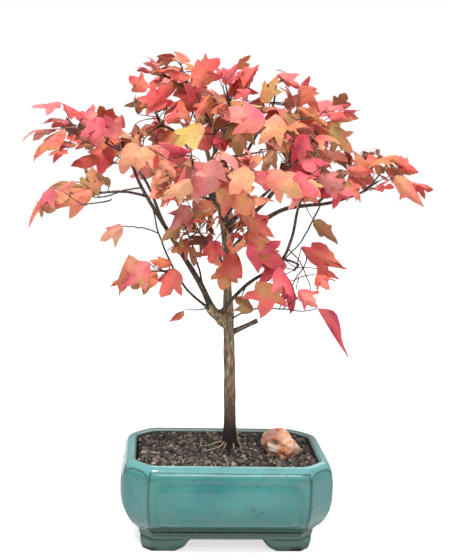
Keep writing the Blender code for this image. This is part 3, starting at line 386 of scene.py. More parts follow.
# Leaves that give the crown its outline: foot of the blade, direction of the middle lobe as seen from
# the front (0 right, 90 up), lean towards the viewer, length, width as a share of it, turn of the face,
# and the tint of the spray that it begins
LEADS = [Lead(*row) for row in (
    (-205, -40, 530, 188, 20, 35, 0.75, 40, "pink"), (-203, -25, 529, 337, 10, 33, 0.6, -55, "red"),
    (-200, -45, 501, 215, 10, 49, 0.6, 35, "coral"), (-161, -55, 515, 265, 15, 33, 1.15, 0, "pink"),
    (-140, -50, 482, 202, 15, 58, 0.7, 20, "red"), (-166, -75, 430, 190, 15, 50, 0.8, 10, "coral"),
    (-172, -60, 435, 167, 5, 50, 0.5, 25, "brown"), (-167, -70, 426, 87, 10, 31, 0.9, 10, "olive"),
    (-132, -60, 392, 202, 15, 28, 1.1, 20, "rose"), (-103, -30, 527, 46, 15, 37, 0.9, 25, "red"),
    (-83, -45, 537, 167, 10, 36, 0.9, 30, "red"), (-116, -50, 484, 229, 10, 35, 1.0, 10, "peach"),
    (-50, -15, 564, 158, 0, 56, 0.35, 40, "red"), (-72, -35, 554, 168, 10, 38, 0.8, 35, "orange"),
    (-50, -20, 559, 50, 5, 39, 0.9, 10, "red"), (-16, 0, 559, 59, 5, 31, 0.8, 10, "crimson"),
    (8, 10, 556, 56, 0, 39, 0.5, 20, "red"), (30, -5, 539, 67, 10, 40, 0.8, -25, "orange"),
    (47, -5, 572, 325, 10, 34, 0.7, 35, "pink"), (74, -10, 559, 307, 10, 35, 0.8, 20, "red"),
    (113, 10, 523, 355, 0, 40, 0.5, 35, "coral"), (112, -10, 511, 314, 10, 41, 0.9, 15, "olive"),
    (200, 0, 479, 191, 10, 38, 0.6, 35, "orange"), (132, -20, 460, 2, 10, 34, 0.65, 20, "red"),
    (191, -20, 456, 312, 15, 52, 0.6, 32, "salmon"), (192, -5, 476, 331, 5, 36, 0.6, 30, "coral"),
    (128, -55, 447, 195, 10, 35, 1.1, 5, "crimson"), (128, -45, 448, 318, 10, 29, 0.9, -10, "coral"),
    (92, -45, 403, 313, 5, 43, 0.6, 25, "brown"), (75, -70, 374, 335, 10, 61, 0.5, 16, "red"),
    (39, -80, 332, 259, 10, 42, 1.15, 0, "coral"), (23, -50, 294, 136, 10, 26, 0.9, 10, "brown"),
    (99, -60, 301, 303, 0, 74, 0.25, 20, "crimson"), (14, -80, 378, 327, 10, 48, 0.9, 5, "crimson"),
    (-69, -60, 343, 240, 10, 36, 0.9, 5, "coral"), (-74, -50, 350, 171, 10, 26, 0.9, 15, "orange"),
    (-102, -65, 352, 221, 10, 43, 0.9, 15, "pink"), (-11, -60, 348, 262, 10, 28, 1.1, 5, "orange"),
    (-25, -70, 379, 264, 10, 26, 1.1, 5, "crimson"), (6, -85, 413, 325, 10, 45, 0.75, 5, "coral"),
    (-48, -135, 470, 265, 15, 40, 1.1, 5, "rose"), (-59, -125, 482, 160, 10, 35, 0.6, 20, "crimson"),
    (-23, -120, 447, 317, 15, 45, 1.0, 5, "coral"), (11, -110, 456, 345, 10, 39, 0.7, 25, "pink"),
)]
# Leaves seen in the middle of the crown, nearer to the viewer than those of the solids
FRONT_LEADS = [Lead(*row) for row in (
    (24, -92, 514, 158, 15, 46, 0.85, 10, "pink"), (-2, -85, 519, 266, 15, 43, 0.95, 5, "olive"),
    (-45, -75, 510, 217, 10, 45, 0.86, 30, "yellow"), (-55, -80, 468, 150, 12, 50, 0.5, 15, "rose"),
    (-102, -70, 480, 236, 12, 28, 0.95, 0, "peach"), (-91, -122, 471, 317, 15, 25, 0.9, 5, "peach"),
    (-34, -165, 474, 261, 15, 35, 1.1, 0, "mauve"), (-58, -135, 451, 210, 12, 38, 0.8, 10, "peach"),
    (5, -152, 464, 229, 12, 33, 0.9, 0, "peach"), (27, -125, 458, 334, 15, 42, 0.85, 5, "salmon"),
    (71, -75, 503, 266, 12, 32, 0.95, 0, "crimson"), (89, -80, 457, 338, 12, 35, 0.8, 10, "mauve"),
    (96, -70, 452, 334, 15, 41, 0.7, 10, "pink"), (45, -95, 518, 223, 12, 38, 0.9, 0, "salmon"),
    (38, -85, 484, 239, 12, 27, 0.95, 5, "brown"), (-58, -80, 418, 230, 12, 31, 1.0, 5, "mauve"),
    (-66, -60, 395, 215, 12, 28, 0.8, 10, "olive"), (-27, -80, 375, 265, 12, 21, 1.1, 0, "red"),
    (67, -45, 533, 333, 12, 34, 0.8, 5, "orange"), (11, -50, 551, 205, 12, 23, 0.8, 10, "red"),
    (-36, -60, 544, 240, 12, 31, 0.9, 5, "coral"), (-86, -55, 514, 19, 12, 31, 0.7, 10, "red"),
)]

Wire = namedtuple("Wire", "line root tip leaf", defaults=(False,))
# Bare twigs seen against the sky: bends, radius at the root and at the tip, whether it ends at a leaf
WIRES = [Wire(*row) for row in (
    (((-69, -38, 336), (-82, -34, 361), (-91, -30, 383), (-96, -27, 405), (-102, -30, 425)), 1.4, 0.9),
    (((-27, -10, 290), (-43, -16, 288), (-57, -24, 289)), 0.9, 0.6),
    (((-91, -31, 382), (-108, -42, 388), (-132, -60, 392)), 0.8, 0.6, True),
    (((-5, -4, 271), (13, -20, 286), (29, -34, 294), (59, -48, 297), (83, -56, 296), (99, -60, 301)),
     1.2, 0.7, True),
    (((106, 2, 416), (94, -12, 396), (83, -24, 378), (70, -38, 366), (60, -46, 357)), 1.0, 0.8),
    (((75, -69, 373), (84, -56, 357), (74, -52, 336), (64, -50, 315), (55, -47, 297)), 0.8, 0.7),
    (((90, -58, 321), (76, -54, 312), (59, -48, 297)), 0.7, 0.7),
    (((62, -48, 370), (76, -54, 354), (86, -57, 336), (90, -58, 321)), 0.9, 0.6),
    (((16, -36, 322), (10, -36, 304), (16, -44, 294), (23, -50, 294)), 0.9, 0.6, True),
    (((-36, 0, 480), (-52, -8, 527), (-53, -10, 548)), 1.3, 0.7),
    (((-52, -8, 527), (-59, -16, 502), (-69, -24, 482)), 1.0, 0.6),
    (((-60, -16, 502), (-73, -20, 519), (-76, -22, 530)), 0.9, 0.6),
    (((14, 8, 479), (9, 4, 517), (12, 0, 546), (15, 0, 560)), 1.0, 0.6),
    (((24, 8, 494), (31, 4, 528), (37, 0, 551), (46, -4, 568)), 1.0, 0.6),
    (((-31, -12, 302), (-43, -16, 347), (-56, -19, 383), (-67, -22, 414), (-86, -26, 437)), 1.5, 1.0),
    (((-112, -36, 435), (-129, -50, 433), (-157, -60, 424), (-178, -66, 429)), 1.0, 0.6),
    (((-124, -38, 464), (-149, -40, 489), (-178, -42, 502), (-200, -44, 508)), 1.1, 0.6),
    (((147, -1, 431), (164, -2, 438), (185, -4, 448), (198, -6, 463)), 1.0, 0.6),
)]
# Leaves at the outer ends of sprays, each on a stalk of its own: the leaf, and where its stalk begins
STRAY_LEADS = (
    (Lead(-57, -24, 289, 216, 10, 28, 0.5, 30, "coral"), None),
    (Lead(-186, -80, 442, 204, 12, 66, 0.4, 28, "salmon"), (-157, -60, 424)),
)

# A seeded leaf goes if a given one's middle lies behind its own within this share of its length
HIDING_REACH = 0.72
# By how much a leaf of FRONT_LEADS may move along the line of sight to find room
FRONT_STEPS = (0.0, -6.0, 6.0, -12.0, 12.0, -18.0, -24.0, -9.0)

# Openings where sky shows through the crown, seen from EYE and measured on the plane Y = 0: (x, z, radius)
EYE = np.array((-99.0, -1265.0, 507.0))
OPENINGS = (
    (-122, 418, 26), (-92, 402, 20), (19, 448, 12), (66, 396, 13), (88, 366, 10), (178, 410, 12),
    (22, 560, 9), (-175, 466, 14), (-60, 330, 12), (-34, 318, 9), (154, 501, 14), (194, 421, 16),
    (-262, 418, 24), (-152, 405, 17), (-14, 389, 8), (-15, 373, 8), (-40, 383, 6), (7, 369, 7),
    (-21, 555, 8), (4, 550, 8), (17, 561, 7), (43, 546, 9), (56, 554, 6), (-72, 518, 8),
    (-109, 520, 9), (-106, 492, 7), (-99, 560, 6), (-39, 537, 5), (131, 517, 8),
)

# The rule of growth: twigs
TWIG_STEP = 30.0
TWIG_BENDS = (0.3, 0.34)
TWIG_MOST_STRETCHES = 2
TWIG_RADIUS = 0.62
TWIG_SWELL = 0.4
TWIG_MOST = 1.5
TWIG_CLEAR = 2.2
TWIG_CHECKS = (0.25, 0.5, 0.75, 1.0)
TWIG_TAPER = 0.8
ROOT_SINK = 0.4
STEM_SINK = 2.5
# The least share of its length that a twig's heading keeps in its curve where it points off
LEAST_HEADING = 0.4
STALK_RADIUS = 0.75
STALK_ROOM = 1.3
STEM_SHARE = 0.75
STEM_FREE = 3.0
# What makes a joint dear: its run from the stem, a twig that would turn back, one that would be too short
RUN_COST = 0.3
BACK_COST = 25.0
SHORT_TWIG = 8.0
SHORT_COST = 200.0
JOINT_CHOICES = 8
# The rule of growth: leaves
MIDDLE_OF_CROWN = np.array((0.0, 0.0, 400.0))
CROWN_SQUASH = (1.0, 1.0, 0.8)
LEAF_LENGTH = (31.0, 45.0)
LEAF_WIDTH = (0.85, 1.1)
LEAF_TRIES = 36
LEAF_SHRINK = 0.35
SPOT_TRIES = 30
FOOT_REACH = 0.85
FOOT_SPREAD = 0.15
SPOT_MARGIN = 4.0
LEAF_REACH = 1.42
LEAF_PULLS = (0.45, 0.5, 0.6)
LEAF_DROP = (0.1, 0.8)
FACE_PULLS = (0.6, 0.7)
FACE_RISE = (0.2, 0.9)
LEAD_RISE = 0.25
LEAD_DEPTH_STEP = 10.0
LEAD_DEPTH_STEPS = 5
FRONT_DEPTH_STEPS = 1
# The plain outline that the rule tests: across as a share of a leaf's width, along as a share of its length
BLADE = (
    (-0.03, 0.0), (-0.36, 0.2), (-0.5, 0.64), (-0.2, 0.66), (0.0, 1.0), (0.2, 0.66), (0.5, 0.64),
    (0.36, 0.2), (0.03, 0.0),
)
BLADE_MIDDLE = 0.45
BLADE_BOW = 0.12
BLADE_FOLD = 0.3
CELL_MARGIN = 0.4
LIMB_MARGIN = 1.6

# A leaf's true outlines, right half from the foot to the tip: (across, along)
OUTLINES = {
    "broad": (
        (0.11, -0.01), (0.27, 0.05), (0.36, 0.17), (0.38, 0.32), (0.49, 0.45), (0.53, 0.6), (0.38, 0.61),
        (0.24, 0.57), (0.24, 0.75), (0.12, 0.91),
    ),
    "long": (
        (0.09, 0.01), (0.22, 0.08), (0.28, 0.2), (0.31, 0.33), (0.43, 0.43), (0.47, 0.57), (0.32, 0.55),
        (0.19, 0.54), (0.18, 0.74), (0.09, 0.89),
    ),
    "starry": (
        (0.12, -0.01), (0.33, 0.02), (0.34, 0.14), (0.32, 0.26), (0.46, 0.37), (0.56, 0.56), (0.36, 0.52),
        (0.19, 0.5), (0.18, 0.7), (0.09, 0.87),
    ),
    "slim": (
        (0.1, 0.02), (0.22, 0.1), (0.29, 0.22), (0.32, 0.33), (0.4, 0.45), (0.33, 0.5), (0.24, 0.54),
        (0.19, 0.66), (0.13, 0.8), (0.06, 0.92),
    ),
    "drawn": (
        (0.05, 0.03), (0.14, 0.09), (0.3, 0.17), (0.42, 0.28), (0.44, 0.4), (0.36, 0.49), (0.3, 0.58),
        (0.19, 0.68), (0.1, 0.8), (0.04, 0.91),
    ),
}
# The outline of a leaf narrower than each width, and how often a broader one takes each of the first three
OUTLINES_BELOW = ((0.51, 4), (0.68, 3), (0.84, 1))
OUTLINE_SHARES = (0.58, 0.27, 0.15)
# The inner ring of a blade's grid as a share of the way out, its thickness as a share of its length, and how
# far its outline's points stray by chance, above this share of its length
BLADE_RING = 0.55
BLADE_THICK = 0.012
BLADE_JITTER = 0.022
JITTER_FROM = 0.05
# Ranges that shape each blade by chance: crease, curl of the sides, bow, drop of the tip, wave of the
# margin, twist of the blade, and where the wave begins
BLADE_CREASE = (0.06, 1.25)
BLADE_RANGES = (
    BLADE_CREASE, (0.0, 1.0), (0.0, 0.34), (0.0, 1.2), (0.01, 0.06), (-0.4, 0.4), (0.0, 2 * math.pi),
)
# The seed of these, how much of the drop and the twist reaches the blade, the share of its length past
# which the tip drops, and how far the point where its folds meet lies below the middle
BLADE_SEED = 90
DROP_SHARE = 1.6
TWIST_SHARE = 0.6
TIP_FROM = 0.55
FOLDS_BELOW = 0.03
# Tips above this height hang down by this share of what they rise past it
TOP_FROM = 572.0
TOP_SAG = 0.25

WIRE_STEP = 5.0
WIRE_SWAY = 1.2
WIRE_SWAY_LENGTHS = (31.0, 15.0)
WIRE_SEED = 200
TWIG_POINTS = 9
TWIG_RING = 6
STALK_LENGTH = 17.0
STALK_ENDS = (0.62, 0.5)
STRAY_STALK = (0.75, 0.55)

# Each tint of the autumn leaves: its base colour, the near tone that it is mottled with, and the record's
# slot that it belongs to
TINTS = {
    "pink": ((0.82, 0.14, 0.18), (0.84, 0.25, 0.2), "coral_leaves"),
    "rose": ((0.7, 0.13, 0.155), (0.6, 0.27, 0.17), "coral_leaves"),
    "coral": ((0.8, 0.15, 0.125), (0.62, 0.27, 0.11), "coral_leaves"),
    "blush": ((0.82, 0.24, 0.215), (0.84, 0.34, 0.23), "coral_leaves"),
    "salmon": ((0.82, 0.23, 0.165), (0.74, 0.35, 0.165), "coral_leaves"),
    "red": ((0.7, 0.08, 0.08), (0.66, 0.16, 0.095), "crimson_leaves"),
    "crimson": ((0.68, 0.065, 0.105), (0.76, 0.14, 0.15), "crimson_leaves"),
    "mauve": ((0.54, 0.16, 0.15), (0.63, 0.21, 0.18), "crimson_leaves"),
    "orange": ((0.72, 0.19, 0.095), (0.5, 0.285, 0.095), "orange_leaves"),
    "peach": ((0.79, 0.29, 0.18), (0.77, 0.38, 0.195), "orange_leaves"),
    "terracotta": ((0.62, 0.145, 0.09), (0.44, 0.235, 0.085), "orange_leaves"),
    "brown": ((0.4, 0.13, 0.08), (0.4, 0.225, 0.085), "olive_leaves"),
    "russet": ((0.26, 0.078, 0.046), (0.32, 0.12, 0.058), "olive_leaves"),
    "olive": ((0.4, 0.255, 0.085), (0.6, 0.21, 0.12), "olive_leaves"),
    "yellow": ((0.6, 0.43, 0.12), (0.6, 0.3, 0.12), "olive_leaves"),
}
# The blades' roughness and shine, and how dark the flecks are that lie on each tint
LEAF_ROUGHNESS = 0.5
LEAF_SHINE = 0.32
FLECK_SHADE = 0.55
# Tints of the small leaves deep in the crown, mostly dark and muted: autumn colours that also paint shade
# into the crown's inside
SHADE_TINTS = ("brown", "russet", "terracotta", "olive", "rose", "coral")
SHADE_LEAVES = 8
SHADE_SIZE = 0.66
SHADE_REACH = 0.62
SHADE_SEED = 900

Leaf = namedtuple("Leaf", "foot along face length width")
Twig = namedtuple("Twig", "curve parent leaf tint placed")


def unit(vector):
    """The vector at length 1."""
    return vector / np.linalg.norm(vector)


def length_of(vector):
    """The vector's length as a plain number."""
    return float(np.linalg.norm(vector))


def units(vectors):
    """Each vector of an array at length 1."""
    return vectors / np.linalg.norm(vectors, axis=-1, keepdims=True)


def square_to(vector, axis):
    """The part of the vector at right angles to the axis, at length 1."""
    return unit(vector - axis * float(vector @ axis))


def turned(vector, axis, degrees):
    """The vector turned about an axis that stands at right angles to it."""
    angle = math.radians(degrees)
    return vector * math.cos(angle) + np.cross(axis, vector) * math.sin(angle)


def smooth_line(points, step):
    """A Catmull-Rom curve through the points, with a point about every step."""
    points = np.array(points, float)
    ends = np.vstack((2 * points[0] - points[1], points, 2 * points[-1] - points[-2]))
    line = [points[0]]
    for before, a, b, after in zip(ends, ends[1:], ends[2:], ends[3:]):
        count = max(1, round(length_of(b - a) / step))
        for t in np.arange(1, count + 1) / count:
            bend = (2 * before - 5 * a + 4 * b - after) * t * t + (3 * a - before - 3 * b + after) * t ** 3
            line.append(0.5 * (2 * a + (b - before) * t + bend))
    return np.array(line)


def run_of(line):
    """How far along the line each of its points is."""
    return np.concatenate(([0.0], np.cumsum(np.linalg.norm(np.diff(line, axis=0), axis=1))))


def shares(line):
    """How far along the line each of its points is, from 0 to 1."""
    run = run_of(line)
    return run / run[-1]


def around(sides):
    """Even angles all the way round."""
    return np.arange(sides) * 2 * math.pi / sides


def point_at(line, share):
    """The point a given share of the way along the line."""
    return np.array([np.interp(share, shares(line), line[:, axis]) for axis in range(3)])


def loft(rings):
    """Corners and faces of a closed solid through rings of equally many points, with flat ends."""
    count = len(rings[0])
    last = (len(rings) - 1) * count
    ends = [list(range(count))[::-1], list(range(last, last + count))]
    return np.vstack(rings), ends[:1] + grid_quads(len(rings), count).tolist() + ends[1:]


def tube(line, radii, sides):
    """A tube carried along the line, of a radius for each of its points, or for each corner of each ring."""
    tangents = np.gradient(line, axis=0)
    across = square_to(np.array((1.0, 0.1, 0.0)), unit(tangents[0]))
    angles = around(sides)
    rings = []
    for point, tangent, radius in zip(line, tangents, radii):
        forward = unit(tangent)
        across = square_to(across, forward)
        beside = np.cross(forward, across)
        ring = np.outer(np.cos(angles) * radius, across) + np.outer(np.sin(angles) * radius, beside)
        rings.append(point + ring)
    return loft(rings)


def limb_radii(limb, line):
    """The limb's radius along its line: an even taper, quicker near the root."""
    return limb.tip + (limb.root - limb.tip) * (1 - shares(line)) ** LIMB_TAPER


def trunk_path(step):
    """The trunk's line, its radii, and its flare at each point: an exponential with the height."""
    start = np.array(TRUNK_LINE[0], float)
    rise = np.array((0.0, 0.0, 1.0))
    foot = [start + rise * height for height in TRUNK_FOOT_LEVELS]
    line = np.vstack((foot[:-1], smooth_line([foot[-1]] + list(TRUNK_LINE[1:]), step)))
    stations, sizes = zip(*TRUNK_RADII)
    radii = np.interp(shares(line), stations, sizes)
    return line, radii, TRUNK_FLARE * np.exp(-(line[:, 2] - start[2]) / TRUNK_FLARE_HEIGHT)


def root_ridges(sides):
    """The share of the flare at each angle: a cosine that gives each root its ridge."""
    return 1 - TRUNK_RIDGE + TRUNK_RIDGE * np.cos(TRUNK_ROOTS * around(sides))


def trunk_tube():
    """The trunk as the rule of growth tests it: a tube with its taper, and a flare with low root ridges."""
    line, radii, flare = trunk_path(LIMB_STEP)
    return tube(line, radii[:, None] + flare[:, None] * root_ridges(TRUNK_SIDES), TRUNK_SIDES)


def limb_line(limb, lines, step):
    """A limb's line from the middle of the limb that it grows from, with a point about every step."""
    return smooth_line([point_at(lines[limb.parent], limb.share)] + list(limb.line), step)


def limb_lines():
    """Each limb's line by name."""
    lines = {"trunk": trunk_path(LIMB_STEP)[0]}
    for limb in LIMBS:
        lines[limb.name] = limb_line(limb, lines, LIMB_STEP)
    return lines


def tree_of(solids):
    """A search tree of many solids' faces."""
    corners = []
    faces = []
    for points, polygons in solids:
        faces.extend([[index + len(corners) for index in polygon] for polygon in polygons])
        corners.extend(points.tolist())
    return BVHTree.FromPolygons(corners, faces)


def cell_walls(mass):
    """The flat walls of a mass's own space, one towards each other mass: their points and outward ways."""
    walls = []
    for other in MASSES:
        if other is mass:
            continue
        apart = other.middle - mass.middle
        distance = length_of(apart)
        outward = apart / distance
        own = 1 / np.linalg.norm(outward / mass.reach)
        its = 1 / np.linalg.norm(outward / other.reach)
        place = distance / 2 + (own ** 2 - its ** 2) / (2 * distance)
        walls.append((mass.middle + outward * (place - CELL_MARGIN), outward))
    return [np.array(column) for column in zip(*walls)]


def in_cell(walls, points, margin=0.0):
    """Whether all points lie inside the walls of a mass's own space, by at least the margin."""
    spots, outward = walls
    return bool(np.all(((points[:, None] - spots) * outward).sum(axis=2) < -margin))


def seen_from_front(points):
    """Where the lines from the eye through the points cross the plane Y = 0, as X and Z."""
    rays = points - EYE
    return (EYE + rays * (-EYE[1] / rays[:, 1])[:, None])[:, (0, 2)]


def blade_points(leaf):
    """The plain outline that the rule tests, bowed and dropping to both sides, then its middle."""
    side = np.cross(leaf.along, leaf.face)
    outline = np.array(BLADE + ((0.0, BLADE_MIDDLE),))
    lift = -BLADE_BOW * outline[:, 1] ** 2 - BLADE_FOLD * outline[:, 0] ** 2
    return (
        leaf.foot + side * (outline[:, :1] * leaf.length * leaf.width)
        + leaf.along * (outline[:, 1:] * leaf.length) + leaf.face * (lift * leaf.length)[:, None]
    )


def lead_leaf(lead, depth):
    """The leaf that a row of LEADS describes, moved by depth along the line of sight."""
    way, lean = math.radians(lead.way), math.radians(lead.lean)
    along = np.array((math.cos(way) * math.cos(lean), -math.sin(lean), math.sin(way) * math.cos(lean)))
    face = turned(square_to(np.array((0.0, -1.0, LEAD_RISE)), along), along, lead.roll)
    foot = np.array(lead[:3], float)
    return Leaf(foot + unit(foot - EYE) * depth, along, face, float(lead.length), lead.width)


def leads_by_mass(leads, most):
    """Hands each leaf of the rows to the mass whose walls hold it at the least change of depth.

    The second list holds those that no mass can take whole, each with the mass whose middle is nearest.
    """
    steps = sorted(range(-most, most + 1), key=lambda step: (abs(step), -step))
    walls = {mass.name: cell_walls(mass) for mass in MASSES}
    found, free = ({mass.name: [] for mass in MASSES} for _ in range(2))
    for lead in leads:
        for step, mass in product(steps, MASSES):
            leaf = lead_leaf(lead, step * LEAD_DEPTH_STEP)
            if in_cell(walls[mass.name], blade_points(leaf)):
                found[mass.name].append((leaf, lead.tint))
                break
        else:
            leaf = lead_leaf(lead, 0.0)
            away = [length_of((leaf.foot - mass.middle) / mass.reach) for mass in MASSES]
            free[MASSES[int(np.argmin(away))].name].append((leaf, lead.tint))
    return found, free


def twig_rings(line, radii, side):
    """Three-cornered rings along a line, turned so that the last one has its flat side along side."""
    tangents = np.gradient(line, axis=0)
    rings = []
    for point, tangent, radius in zip(line[::-1], tangents[::-1], radii[::-1]):
        forward = unit(tangent)
        side = square_to(side, forward)
        above = np.cross(side, forward)
        flat = point + above * radius / 2
        rings.append(np.array((flat - side * radius, flat + side * radius, point - above * radius)))
    return rings[::-1]


def blade_tree(leaf):
    """The corners of the blade alone, and its search tree for finding what it would touch."""
    points = blade_points(leaf)
    count = len(points) - 1
    return points, BVHTree.FromPolygons(points.tolist(), [[k, (k + 1) % count, count] for k in range(count)])


def curve_points(curve, count):
    """Points of a twig's cubic curve: it leaves along the older twig and arrives along its leaf."""
    start, heading, goal, arrival = curve
    length = length_of(goal - start)
    first = start + heading * length * TWIG_BENDS[0]
    second = goal - arrival * length * TWIG_BENDS[1]
    t = (np.arange(count + 1) / count)[:, None]
    rest = 1 - t
    return start * rest ** 3 + first * 3 * t * rest ** 2 + second * 3 * t ** 2 * rest + goal * t ** 3


def twig_line(curve):
    """A twig's line as the rule tests it, in one or two stretches."""
    length = length_of(curve[2] - curve[0])
    return curve_points(curve, min(TWIG_MOST_STRETCHES, max(1, round(length / TWIG_STEP))))


class Crown:
    """Grows the twigs and leaves of one mass after another, each in its own space."""

    def __init__(self, lines):
        self.lines = lines
        limbs = [tube(lines[limb.name], limb_radii(limb, lines[limb.name]), LIMB_SIDES) for limb in LIMBS]
        self.limbs = tree_of([trunk_tube()] + limbs)
        self.leads, self.free = leads_by_mass(LEADS, LEAD_DEPTH_STEPS)
        self.front, self.free_front = leads_by_mass(FRONT_LEADS, FRONT_DEPTH_STEPS)

    def clear_of_limbs(self, points, distance):
        """Whether every point keeps its distance from the limbs."""
        return all(self.limbs.find_nearest(point.tolist(), distance)[0] is None for point in points)

    def some_direction(self):
        """A random direction, even on all sides."""
        return unit(np.array([self.random.gauss(0, 1) for _ in range(3)]))

    def add_stem(self, mass):
        """The mass's stem: from just past its limb's tip towards the mass's middle."""
        line = self.lines[mass.limb]
        heading = unit(line[-1] - line[-2])
        start = line[-1] + heading * CLEAR
        goal = start * (1 - STEM_SHARE) + mass.middle * STEM_SHARE
        self.start = start
        curve = (start, heading, goal, unit(mass.middle - start))
        self.keep_twig(None, twig_line(curve), curve, None, None, False)

    def keep_twig(self, parent, line, curve, leaf, tint, placed):
        """Files a twig; younger ones may grow from the middle of each stretch, except of a short one."""
        number = len(self.twigs)
        self.twigs.append(Twig(curve, parent, leaf, tint, placed))
        if leaf is not None and len(line) == 2:
            return
        for before, after in zip(line[:-1], line[1:]):
            middle = (before + after) / 2
            run = length_of(middle - self.start)
            self.joints.append((middle, unit(after - before), run, number))

    def spots(self, mass, taken, count, reach=FOOT_REACH):
        """Leaf feet spread through the mass: each is the farthest of several tries from those before it."""
        found = []
        for _ in range(count):
            tries = []
            for _ in range(SPOT_TRIES):
                out = self.some_direction() * self.random.uniform(FOOT_SPREAD, 1.0) ** 0.5 * reach
                spot = mass.middle + out * mass.reach
                if in_cell(self.walls, spot[None], SPOT_MARGIN):
                    gaps = [length_of(spot - other) for other in taken + found]
                    tries.append((min(gaps or [0.0]), spot.tolist()))
            if tries:
                found.append(np.array(max(tries)[1]))
        return found

    def seeded_leaf(self, foot, size):
        """A leaf of the crown: its tip hangs outwards and its face looks out and up."""
        pick = self.random
        out = unit((foot - MIDDLE_OF_CROWN) * CROWN_SQUASH)
        away = unit(foot - self.start)
        pulls = away * LEAF_PULLS[0] + out * LEAF_PULLS[1] + self.some_direction() * LEAF_PULLS[2]
        along = unit(pulls - np.array((0.0, 0.0, pick.uniform(*LEAF_DROP))))
        rise = np.array((0.0, 0.0, pick.uniform(*FACE_RISE)))
        face = square_to(out * FACE_PULLS[0] + rise + self.some_direction() * FACE_PULLS[1], along)
        return Leaf(foot, along, face, pick.uniform(*LEAF_LENGTH) * size, pick.uniform(*LEAF_WIDTH))

    def blade_fits(self, mass, leaf, lead, strict=True):
        """A blade's search tree if it keeps to its space and touches nothing, else None."""
        corners, blade = blade_tree(leaf)
        if not strict:
            return blade
        if not in_cell(self.walls, corners) or not self.clear_of_limbs(corners, LIMB_MARGIN):
            return None
        if not lead:
            inside = np.linalg.norm((corners - mass.middle) / mass.reach, axis=1)
            if inside.max() > LEAF_REACH:
                return None
            seen = seen_from_front(corners)
            if any((np.hypot(seen[:, 0] - x, seen[:, 1] - z) < size).any() for x, z, size in OPENINGS):
                return None
        others = [self.limbs] + self.placed_twigs + self.placed_blades
        return None if any(blade.overlap(other) for other in others) else blade

    def twig_to(self, leaf, strict=True):
        """The best twig from an older one to the leaf's foot, or None where each would touch something."""
        costs = []
        for number, (point, heading, run, _) in enumerate(self.joints):
            reach = leaf.foot - point
            distance = length_of(reach)
            back = BACK_COST if reach @ heading < 0 else 0
            short = SHORT_COST if distance < SHORT_TWIG else 0
            costs.append((distance + RUN_COST * run + back + short, number))
        for _, number in sorted(costs)[:JOINT_CHOICES]:
            point, heading, _, _ = self.joints[number]
            curve = (point, heading, leaf.foot, leaf.along)
            line = twig_line(curve)
            checks = np.vstack([line[:-1] + (line[1:] - line[:-1]) * part for part in TWIG_CHECKS])
            far = checks[np.linalg.norm(checks - self.start, axis=1) > STEM_FREE]
            if strict and not (in_cell(self.walls, checks) and self.clear_of_limbs(far, TWIG_CLEAR)):
                continue
            line[0] = line[0] - unit(line[1] - line[0]) * ROOT_SINK
            side = np.cross(leaf.along, leaf.face)
            rings = twig_rings(line, [STALK_RADIUS * STALK_ROOM] * len(line), side)
            twig = tree_of([loft(rings)])
            if strict and any(twig.overlap(other) for other in self.placed_blades):
                continue
            return number, line, curve, twig
        return None

    def add_leaf(self, mass, leaf, lead, tint=None, strict=True):
        """Adds the leaf and its twig if both fit. A spray keeps its tint until it has enough leaves."""
        blade = self.blade_fits(mass, leaf, lead, strict)
        found = blade and self.twig_to(leaf, strict)
        if not found:
            return False
        number, line, curve, twig = found
        parent = self.joints[number][3]
        if tint is None:
            older = self.twigs[parent].tint
            spray = sum(other.parent == parent for other in self.twigs) + 1
            tint = older if older and spray < SPRAY_LEAVES else self.tints.choice(mass.tints.split())
        self.keep_twig(parent, line, curve, leaf, tint, lead)
        self.placed_twigs.append(twig)
        self.placed_blades.append(blade)
        return True

    def fill(self, mass, count, size_of_all=1.0, reach=FOOT_REACH, tints=None, taken=None):
        """Adds seeded leaves at spots spread through the mass, each smaller the more often it is tried."""
        if taken is None:
            taken = [twig.leaf.foot for twig in self.twigs if twig.leaf is not None]
        spots = self.spots(mass, taken, count, reach)
        for spot in sorted(spots, key=lambda spot: length_of(spot - self.start)):
            tint = self.tints.choice(tints) if tints else None
            for attempt in range(LEAF_TRIES):
                size = size_of_all * (1 - LEAF_SHRINK * attempt / LEAF_TRIES)
                if self.add_leaf(mass, self.seeded_leaf(spot, size), False, tint):
                    break

    def loads(self):
        """How many leaves each twig carries, its own and those of the twigs that grow from it."""
        load = [0 if twig.leaf is None else 1 for twig in self.twigs]
        for number in range(len(self.twigs) - 1, 0, -1):
            load[self.twigs[number].parent] += load[number]
        return load

